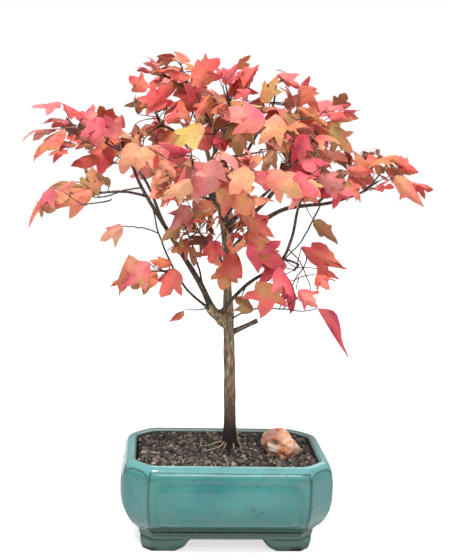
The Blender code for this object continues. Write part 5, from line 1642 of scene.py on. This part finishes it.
def build_soil_grains():
    """Granules over the bed: icosahedra pushed out of shape, stretched, turned at random, on a loose grid."""
    pick = np.random.default_rng(GRAIN_SEED)
    columns, rows = np.meshgrid(*(np.arange(-half, half, GRAIN_SPACING) for half in WALL_HALF))
    x = columns.ravel() + pick.uniform(-GRAIN_SHIFT, GRAIN_SHIFT, columns.size)
    y = rows.ravel() + pick.uniform(-GRAIN_SHIFT, GRAIN_SHIFT, rows.size)
    size = pick.uniform(*GRAIN_SIZE, x.size)
    inside = wall_gap(x, y) > size * GRAIN_ROOM
    x, y, size = x[inside], y[inside], size[inside]
    count = len(x)
    corners, faces = grain_shape()
    shapes = corners * (1 + pick.uniform(-GRAIN_STRAY, GRAIN_STRAY, (count, GRAIN_CORNERS, 1)))
    shapes = shapes * pick.uniform(*GRAIN_STRETCH, (count, 1, 3)) * size[:, None, None]
    turns = np.linalg.qr(pick.normal(size=(count, 3, 3)))[0]
    turns = turns * np.sign(np.linalg.det(turns))[:, None, None]
    shapes = np.einsum("nij,nkj->nki", turns, shapes)
    height = soil_top(x, y) + pick.uniform(*GRAIN_RISE, count) - size * GRAIN_SINK
    shapes = shapes + np.stack((x, y, height), axis=1)[:, None]
    triangles = (faces + (np.arange(count) * GRAIN_CORNERS)[:, None, None]).reshape(-1, 3)
    tone = np.repeat(pick.beta(1.3, 1.9, count), GRAIN_CORNERS)
    surface = (shapes.reshape(-1, 3), np.zeros((0, 4), int), triangles)
    piece("soil_granules", surface, soil_grain(), ["soil"], smooth=False, fields={"tone": tone})


def build_stone():
    """The stone: a ball cut by a few flats, with soft lumps, as a grid of latitude and longitude.

    The radius in a direction is the least distance to any flat, blended with one, plus soft noise.
    """
    pick = np.random.default_rng(STONE_SEED)
    tilt = np.linspace(-math.pi / 2, math.pi / 2, STONE_GRID[0])[1:-1, None]
    turn = np.linspace(0, 2 * math.pi, STONE_GRID[1], endpoint=False)[None]
    flat = np.cos(tilt)
    ways = np.stack((flat * np.cos(turn), flat * np.sin(turn), np.sin(tilt) * np.ones_like(turn)), axis=-1)
    flats = units(pick.normal(size=(STONE_FLATS, 3)))
    facing = np.maximum(ways @ flats.T, STONE_FACING_LEAST)
    out = pick.uniform(*STONE_FLATS_OUT, STONE_FLATS)
    cut = np.minimum((out / facing).min(axis=-1), STONE_CUT_MOST)
    lumps = sum(height * soft_noise(ways, lengths, seed) for height, lengths, seed in STONE_LUMPS)
    spots = {name: bell(np.linalg.norm(ways - unit(np.array(way)), axis=-1), width)
             for name, (way, width) in STONE_SPOTS.items()}
    steep, down = QUARTZ_EDGE
    spots["quartz"] = np.clip(steep * spots["quartz"] - down, 0.0, 1.0)
    bumps = QUARTZ_HIGH * spots["quartz"] - DENT_DEEP * spots["shaded_dent"]
    form = cut * STONE_CUT_SHARE + (1 - STONE_CUT_SHARE) + lumps + bumps
    body = ways * form[..., None] * np.array(STONE_HALF)
    low, high = STONE_LOW * STONE_HALF[2], STONE_HIGH * STONE_HALF[2]
    body[..., 2] = np.clip(body[..., 2], low, None)
    body[..., 2] = low + (body[..., 2] - low) * (high - low) / (body[..., 2].max() - low)
    body[..., 0] = body[..., 0] + STONE_LEAN * body[..., 2] / STONE_HALF[2]
    bed = soil_height(STONE_AT[0] + np.array((-STONE_RESTS, 0.0, STONE_RESTS)), np.full(3, STONE_AT[1])).max()
    body = body + (STONE_AT[0], STONE_AT[1], bed - low - STONE_SINK)
    fields = {name: np.append(spot.ravel(), (0, 0)) for name, spot in spots.items()}
    piece("stone_weathered", closed_surface(body), peach_rock(), ["stone"], fields=fields)


# The trunk and the boughs


def bark_tube(line, radii, sides, depth, seed, extra=0.0):
    """A limb with the relief of bark, closed at both ends.

    The relief is fissures that run along the line, bent by soft noise, as shares of the radius.
    """
    run = run_of(line)[:, None]
    angles = around(sides)[None]
    place = np.stack(
        (np.cos(angles) * BARK_ROUND + 0 * run, np.sin(angles) * BARK_ROUND + 0 * run,
         run * BARK_ALONG + 0 * angles), axis=-1)
    fine = soft_noise(place, BARK_FINE, seed)
    broad = soft_noise(place * (1, 1, 2.0), BARK_BROAD, seed + 1)
    bent = 2 * soft_noise(place, BARK_BENT, seed + 2)
    high, turn, group_turn, group_width = BARK_RINGS
    rings = high * np.sin(run * turn + bent) * bell(np.sin(run * group_turn), group_width)
    relief = sum(share * part for share, part in zip(BARK_SHARES, (fine, broad, rings)))
    return closed_tube(line, radii, sides, depth * relief + extra)


def fine_limb(limb, lines, step):
    """A limb's fine line and its radii, with a collar where it leaves another: an exponential."""
    line = limb_line(limb, lines, step)
    run = shares(line) * np.linalg.norm(np.diff(line, axis=0), axis=1).sum()
    past = np.maximum(run - limb.root * COLLAR_FROM, 0)
    return line, limb_radii(limb, line) + COLLAR_RISE * limb.root * np.exp(-past / COLLAR_FALL)


def build_trunk(lines):
    """Trunk and knuckle with bark relief: ridges of the root flare are a cosine of the angle."""
    step, *bark = TRUNK_BARK
    line, radii, flare = trunk_path(step)
    line = np.vstack((line[0] - np.array((0.0, 0.0, TRUNK_BELOW)), line))
    radii = np.append(radii[0], radii)
    flare = np.append(flare[0], flare)
    surfaces = [bark_tube(line, radii, *bark, (flare / radii)[:, None] * root_ridges(bark[0]))]
    step, *bark = KNUCKLE_BARK
    line, radii = fine_limb(LIMBS[0], lines, step)
    swell, turn = KNUCKLE_SWELL
    surfaces.append(bark_tube(line, radii * (1 + swell * np.sin(shares(line) * turn)), *bark))
    piece("trunk_bark", joined(surfaces), trunk_bark(), ["trunk"])


def build_boughs(lines):
    """Every bough, and the sawn stub with its swollen end."""
    step, sides, depth, seed = BOUGH_BARK
    limbs = [fine_limb(limb, lines, step) for limb in LIMBS[2:]]
    surfaces = [bark_tube(*limb, sides, depth, seed + number) for number, limb in enumerate(limbs)]
    piece("bough_bark", joined(surfaces), bough_bark(), [limb.name for limb in LIMBS[2:]])
    step, *bark = STUB_BARK
    line, radii = fine_limb(LIMBS[1], lines, step)
    swell, place, width = STUB_SWELL
    radii = radii * (1 + swell * bell(shares(line) - place, width))
    piece("sawn_stub", bark_tube(line, radii, *bark), stub_bark(), ["stub"])


def build_surface_roots():
    """Pale bare roots that run from the trunk's foot over the soil."""
    step, sides, depth, seed = ROOT_BARK
    surfaces = []
    for number, (bends, root, tip) in enumerate(SURFACE_ROOTS):
        line = smooth_line(bends, step)
        line = line + ROOT_SWAY * sway(line, ROOT_SWAY_LENGTHS, ROOT_SEED + number)
        surfaces.append(bark_tube(line, np.linspace(root, tip, len(line)), sides, depth, seed + number))
    piece("surface_roots", joined(surfaces), cut_wood(), [])


# The twigs and the leaves


def leaf_middle(leaf):
    """The middle of a leaf's blade."""
    return leaf.foot + leaf.along * leaf.length * BLADE_MIDDLE


def without_hiding(crowns):
    """The crowns less those seeded leaves that hide the middle of one whose place is given."""
    leafy = [twig for grown in crowns for twig, _ in grown if twig.leaf is not None]
    middles = np.array([leaf_middle(twig.leaf) for twig in leafy if twig.placed])
    depths = np.linalg.norm(middles - EYE, axis=1)
    seen = seen_from_front(middles)

    def seen_leaf(twig):
        if twig.leaf is None or twig.placed:
            return twig.leaf
        middle = leaf_middle(twig.leaf)
        apart = np.linalg.norm(seen - seen_from_front(middle[None]), axis=1)
        hides = (length_of(middle - EYE) < depths) & (apart < HIDING_REACH * twig.leaf.length)
        return None if hides.any() else twig.leaf

    return [[(twig._replace(leaf=seen_leaf(twig)), root) for twig, root in grown] for grown in crowns]


def gentle(curve):
    """The twig's curve with its two headings drawn towards its chord, the more the farther they point off."""
    start, heading, goal, arrival = curve
    chord = unit(goal - start)

    def drawn(way):
        share = max(0.0, float(way @ chord)) ** 0.5
        return (way * share + chord * (1 - share)) * (LEAST_HEADING + (1 - LEAST_HEADING) * share)

    return start, drawn(heading), goal, drawn(arrival)


def twig_surfaces(grown, carried):
    """The twigs and the leaf stalks of a mass as tubes along their cubic curves, but for those carried."""
    twigs = []
    stalks = []
    parents = {twig.parent for twig, _ in grown}
    for order, (twig, root) in enumerate(grown):
        if twig.leaf is None and order and order not in parents:
            continue
        if twig.leaf is not None and any(np.allclose(twig.leaf.foot, foot) for foot in carried):
            continue
        line = curve_points(gentle(twig.curve), TWIG_POINTS)
        if twig.parent is None:
            line[0] = line[0] - twig.curve[1] * STEM_SINK
            radii = np.linspace(root, root * TWIG_TAPER, len(line))
            twigs.append(closed_tube(line, radii))
            continue
        line[0] = line[0] - unit(line[1] - line[0]) * ROOT_SINK
        left = np.linalg.norm(line - line[-1], axis=1)
        split = min(int(np.argmax(left < STALK_LENGTH)), len(line) - 3)
        radii = np.linspace(max(root, STALK_ENDS[0]), STALK_ENDS[0], len(line))
        if split > 0:
            twigs.append(closed_tube(line[:split + 1], radii[:split + 1]))
        stalks.append(closed_tube(line[split:], np.linspace(radii[split], STALK_ENDS[1], len(line) - split)))
    return twigs, stalks


def reaching(wire, feet):
    """A wire that ends at a leaf, with its last bend moved to the foot of a leaf that looks nearest."""
    if not wire.leaf:
        return wire
    goal = np.array(wire.line[-1], float)
    seen = seen_from_front(np.vstack((goal, feet)))
    nearest = feet[int(np.argmin(np.linalg.norm(seen[1:] - seen[0], axis=1)))]
    return wire._replace(line=wire.line[:-1] + (tuple(nearest),))


def wire_surface(wire, number):
    """A bare twig as a tube along its bends, a little crooked, with an even taper."""
    line = smooth_line(wire.line, WIRE_STEP)
    ends = np.sin(math.pi * shares(line))[:, None]
    line = line + WIRE_SWAY * sway(line, WIRE_SWAY_LENGTHS, WIRE_SEED + 3 * number) * ends
    return closed_tube(line, np.linspace(wire.root, wire.tip, len(line)))


def outline_of(width, pick):
    """The number of the outline that suits a leaf's width, with some chance in it."""
    for limit, number in OUTLINES_BELOW:
        if width < limit:
            return number
    return int(pick.choice(3, p=OUTLINE_SHARES))


def full_outline(half):
    """A whole outline from its right half: foot, right side, tip, then the left side back down."""
    right = np.array(half)
    left = right[::-1] * (-1, 1)
    return np.vstack(((0.0, 0.0), right, (0.0, 1.0), left))


def leaf_surfaces(leaves, seed):
    """Blades of many leaves as one surface, each a closed lens over its lobed outline.

    On a grid of rings (middle, inner ring, outline) a point's place is the foot plus side, along and
    face times across, along and lift. Lift is less the crease times |across|, less the curl times across
    squared, less the bow times along squared, less the tip's drop, plus a wave round the margin. The
    underside lies a thickness lower.
    """
    pick = np.random.default_rng(seed)
    outlines = np.array([full_outline(half) for half in OUTLINES.values()])
    points = outlines.shape[1]
    kinds = np.array([outline_of(leaf.width, pick) for leaf in leaves])
    count = len(leaves)
    jitter = pick.normal(0, BLADE_JITTER, (count, points, 2))
    edge = outlines[kinds] + jitter * (outlines[kinds][..., 1:] > JITTER_FROM)
    edge[:, 0] = 0.0
    middle = np.array((0.0, BLADE_MIDDLE - FOLDS_BELOW))
    ring = middle + (edge - middle) * BLADE_RING
    flat = np.concatenate((edge, ring, np.broadcast_to(middle, (count, 1, 2))), axis=1)
    across, along = flat[..., 0], flat[..., 1]
    crease, curl, bow, drop, wave, twist, phase = (
        pick.uniform(*limits, (count, 1)) for limits in BLADE_RANGES)
    margin = np.concatenate((np.ones(points), np.full(points, BLADE_RING ** 2), (0.0,)))
    angle = np.concatenate((np.arange(points), np.arange(points), (0,))) * 2 * math.pi / points
    low, high = BLADE_CREASE
    crease = low + (crease - low) ** 2 / (high - low)
    lift = -crease * np.abs(across) - curl * across ** 2 - bow * along ** 2
    lift = lift - drop * np.maximum(along - TIP_FROM, 0) ** 2 * DROP_SHARE
    lift = lift + wave * margin * np.sin(3 * angle + phase)
    lift = lift + twist * across * along * TWIST_SHARE
    feet, ways, faces, length, width = (np.array(values) for values in zip(*leaves))
    feet, ways, faces = feet[:, None], ways[:, None], faces[:, None]
    length, width = length[:, None, None], width[:, None, None]
    sides = np.cross(ways, faces)
    top = feet + sides * (across[..., None] * length * width) + ways * (along[..., None] * length)
    top = top + faces * (lift[..., None] * length)
    top[..., 2] = top[..., 2] - TOP_SAG * np.maximum(top[..., 2] - TOP_FROM, 0.0)
    under = top[:, points:] - faces * (length * BLADE_THICK)
    corners = np.concatenate((top, under), axis=1)
    here = np.arange(points)
    after = (here + 1) % points
    inner, pole = points, 2 * points
    low, low_pole = 2 * points + 1, 3 * points + 1
    quads = np.vstack((
        np.stack((here, after, inner + after, inner + here), axis=1),
        np.stack((after, here, low + here, low + after), axis=1)))
    triangles = np.vstack((
        np.stack((inner + here, inner + after, np.full(points, pole)), axis=1),
        np.stack((low + after, low + here, np.full(points, low_pole)), axis=1)))
    first = (np.arange(count) * corners.shape[1])[:, None, None]
    return corners.reshape(-1, 3), (quads + first).reshape(-1, 4), (triangles + first).reshape(-1, 3)


def sharpen_margins(made, count_points, leaves):
    """Marks the edges round each blade's outline as sharp, so that each side is shaded by itself."""
    mesh = made.data
    ends = np.zeros(len(mesh.edges) * 2, int)
    mesh.edges.foreach_get("vertices", ends)
    ends = ends.reshape(-1, 2) % (len(mesh.vertices) // leaves)
    on_margin = (ends < count_points).all(axis=1)
    mesh.attributes.new("sharp_edge", "BOOLEAN", "EDGE").data.foreach_set("value", on_margin)


def build_crown(lines):
    """Grows every mass, then joins twigs, stalks, and the leaves of each tint into pieces."""
    crown = Crown(lines)
    crowns = without_hiding([crown.grow(mass) for mass in MASSES])
    leafy = [twig for grown in crowns for twig, _ in grown if twig.leaf is not None]
    wires = [reaching(wire, [twig.leaf.foot for twig in leafy]) for wire in WIRES]
    carried = [wire.line[-1] for wire in wires if wire.leaf]
    parts = [twig_surfaces(grown, carried) for grown in crowns]
    twigs = [surface for more, _ in parts for surface in more]
    twigs += [wire_surface(wire, number) for number, wire in enumerate(wires)]
    stalks = [surface for _, more in parts for surface in more]
    tinted = {tint: [twig.leaf for twig in leafy if twig.tint == tint] for tint in TINTS}
    for lead, start in STRAY_LEADS:
        leaf = lead_leaf(lead, 0.0)
        tinted[lead.tint].append(leaf)
        if start:
            start = np.array(start, float)
            curve = (start, unit(leaf.foot - start), leaf.foot, leaf.along)
            line = curve_points(gentle(curve), TWIG_POINTS)
            stalks.append(closed_tube(line, np.linspace(*STRAY_STALK, len(line))))
    names = [mass.name for mass in MASSES]
    piece("twigs", joined(twigs), bough_bark(), names)
    piece("leaf_stalks", joined(stalks), leaf_stalk(), names)
    outline_count = len(full_outline(OUTLINES["broad"]))
    for number, (tint, leaves) in enumerate(tinted.items()):
        if leaves:
            surface = leaf_surfaces(leaves, BLADE_SEED + number)
            made = piece("leaves_" + tint, surface, leaf_tint(tint), names)
            sharpen_margins(made, outline_count, len(leaves))


# The studio


def turned_to(place, ways):
    """The matrix of an object at a place whose own three axes point these ways."""
    return Matrix.Translation(place) @ Matrix(np.array(ways).T.tolist()).to_4x4()


def build_studio():
    """Camera, pale floor, white surroundings and soft lamps."""
    scene = bpy.context.scene
    camera = in_scene("camera", bpy.data.cameras.new("camera"))
    camera.data.lens = CAMERA_LENS
    camera.matrix_world = turned_to(CAMERA_AT, (CAMERA_RIGHT, CAMERA_UP, CAMERA_BACK))
    scene.camera = camera
    mesh = bpy.data.meshes.new("floor")
    corners = [(x * FLOOR_HALF, y * FLOOR_HALF, 0) for x, y in ((-1, -1), (1, -1), (1, 1), (-1, 1))]
    mesh.from_pydata(corners, [], [(0, 1, 2, 3)])
    mesh.materials.append(studio_floor())
    floor = in_scene("floor", mesh)
    scene.world = bpy.data.worlds.new("studio")
    scene.world.use_nodes = True
    tree = scene.world.node_tree
    sky = tree.nodes["Background"].inputs
    sky["Color"].default_value = (1.0, 1.0, 1.0, 1.0)
    seen = added(tree, "LightPath", {})["Is Camera Ray"]
    light = added(tree, "MapRange", {"Value": seen, "To Min": SKY_LIGHT, "To Max": SKY_STRENGTH})
    tree.links.new(light["Result"], sky["Strength"])
    for name, place, (width, height), power in LAMPS:
        lamp = bpy.data.lights.new(name, "AREA")
        lamp.shape = "RECTANGLE"
        lamp.size = width
        lamp.size_y = height
        lamp.energy = power
        away = unit(np.array(place) - np.array(LAMPS_FACE))
        beside = unit(np.cross((0.0, 0.0, 1.0), away))
        in_scene(name, lamp).matrix_world = turned_to(place, (beside, np.cross(away, beside), away))
    scene.view_settings.view_transform = "Standard"


def main():
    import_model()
    mottle_group()
    speck_group()
    build_studio()
    lines = limb_lines()
    build_pot()
    build_soil_bed()
    build_soil_grains()
    build_stone()
    build_trunk(lines)
    build_boughs(lines)
    build_surface_roots()
    build_crown(lines)


main()
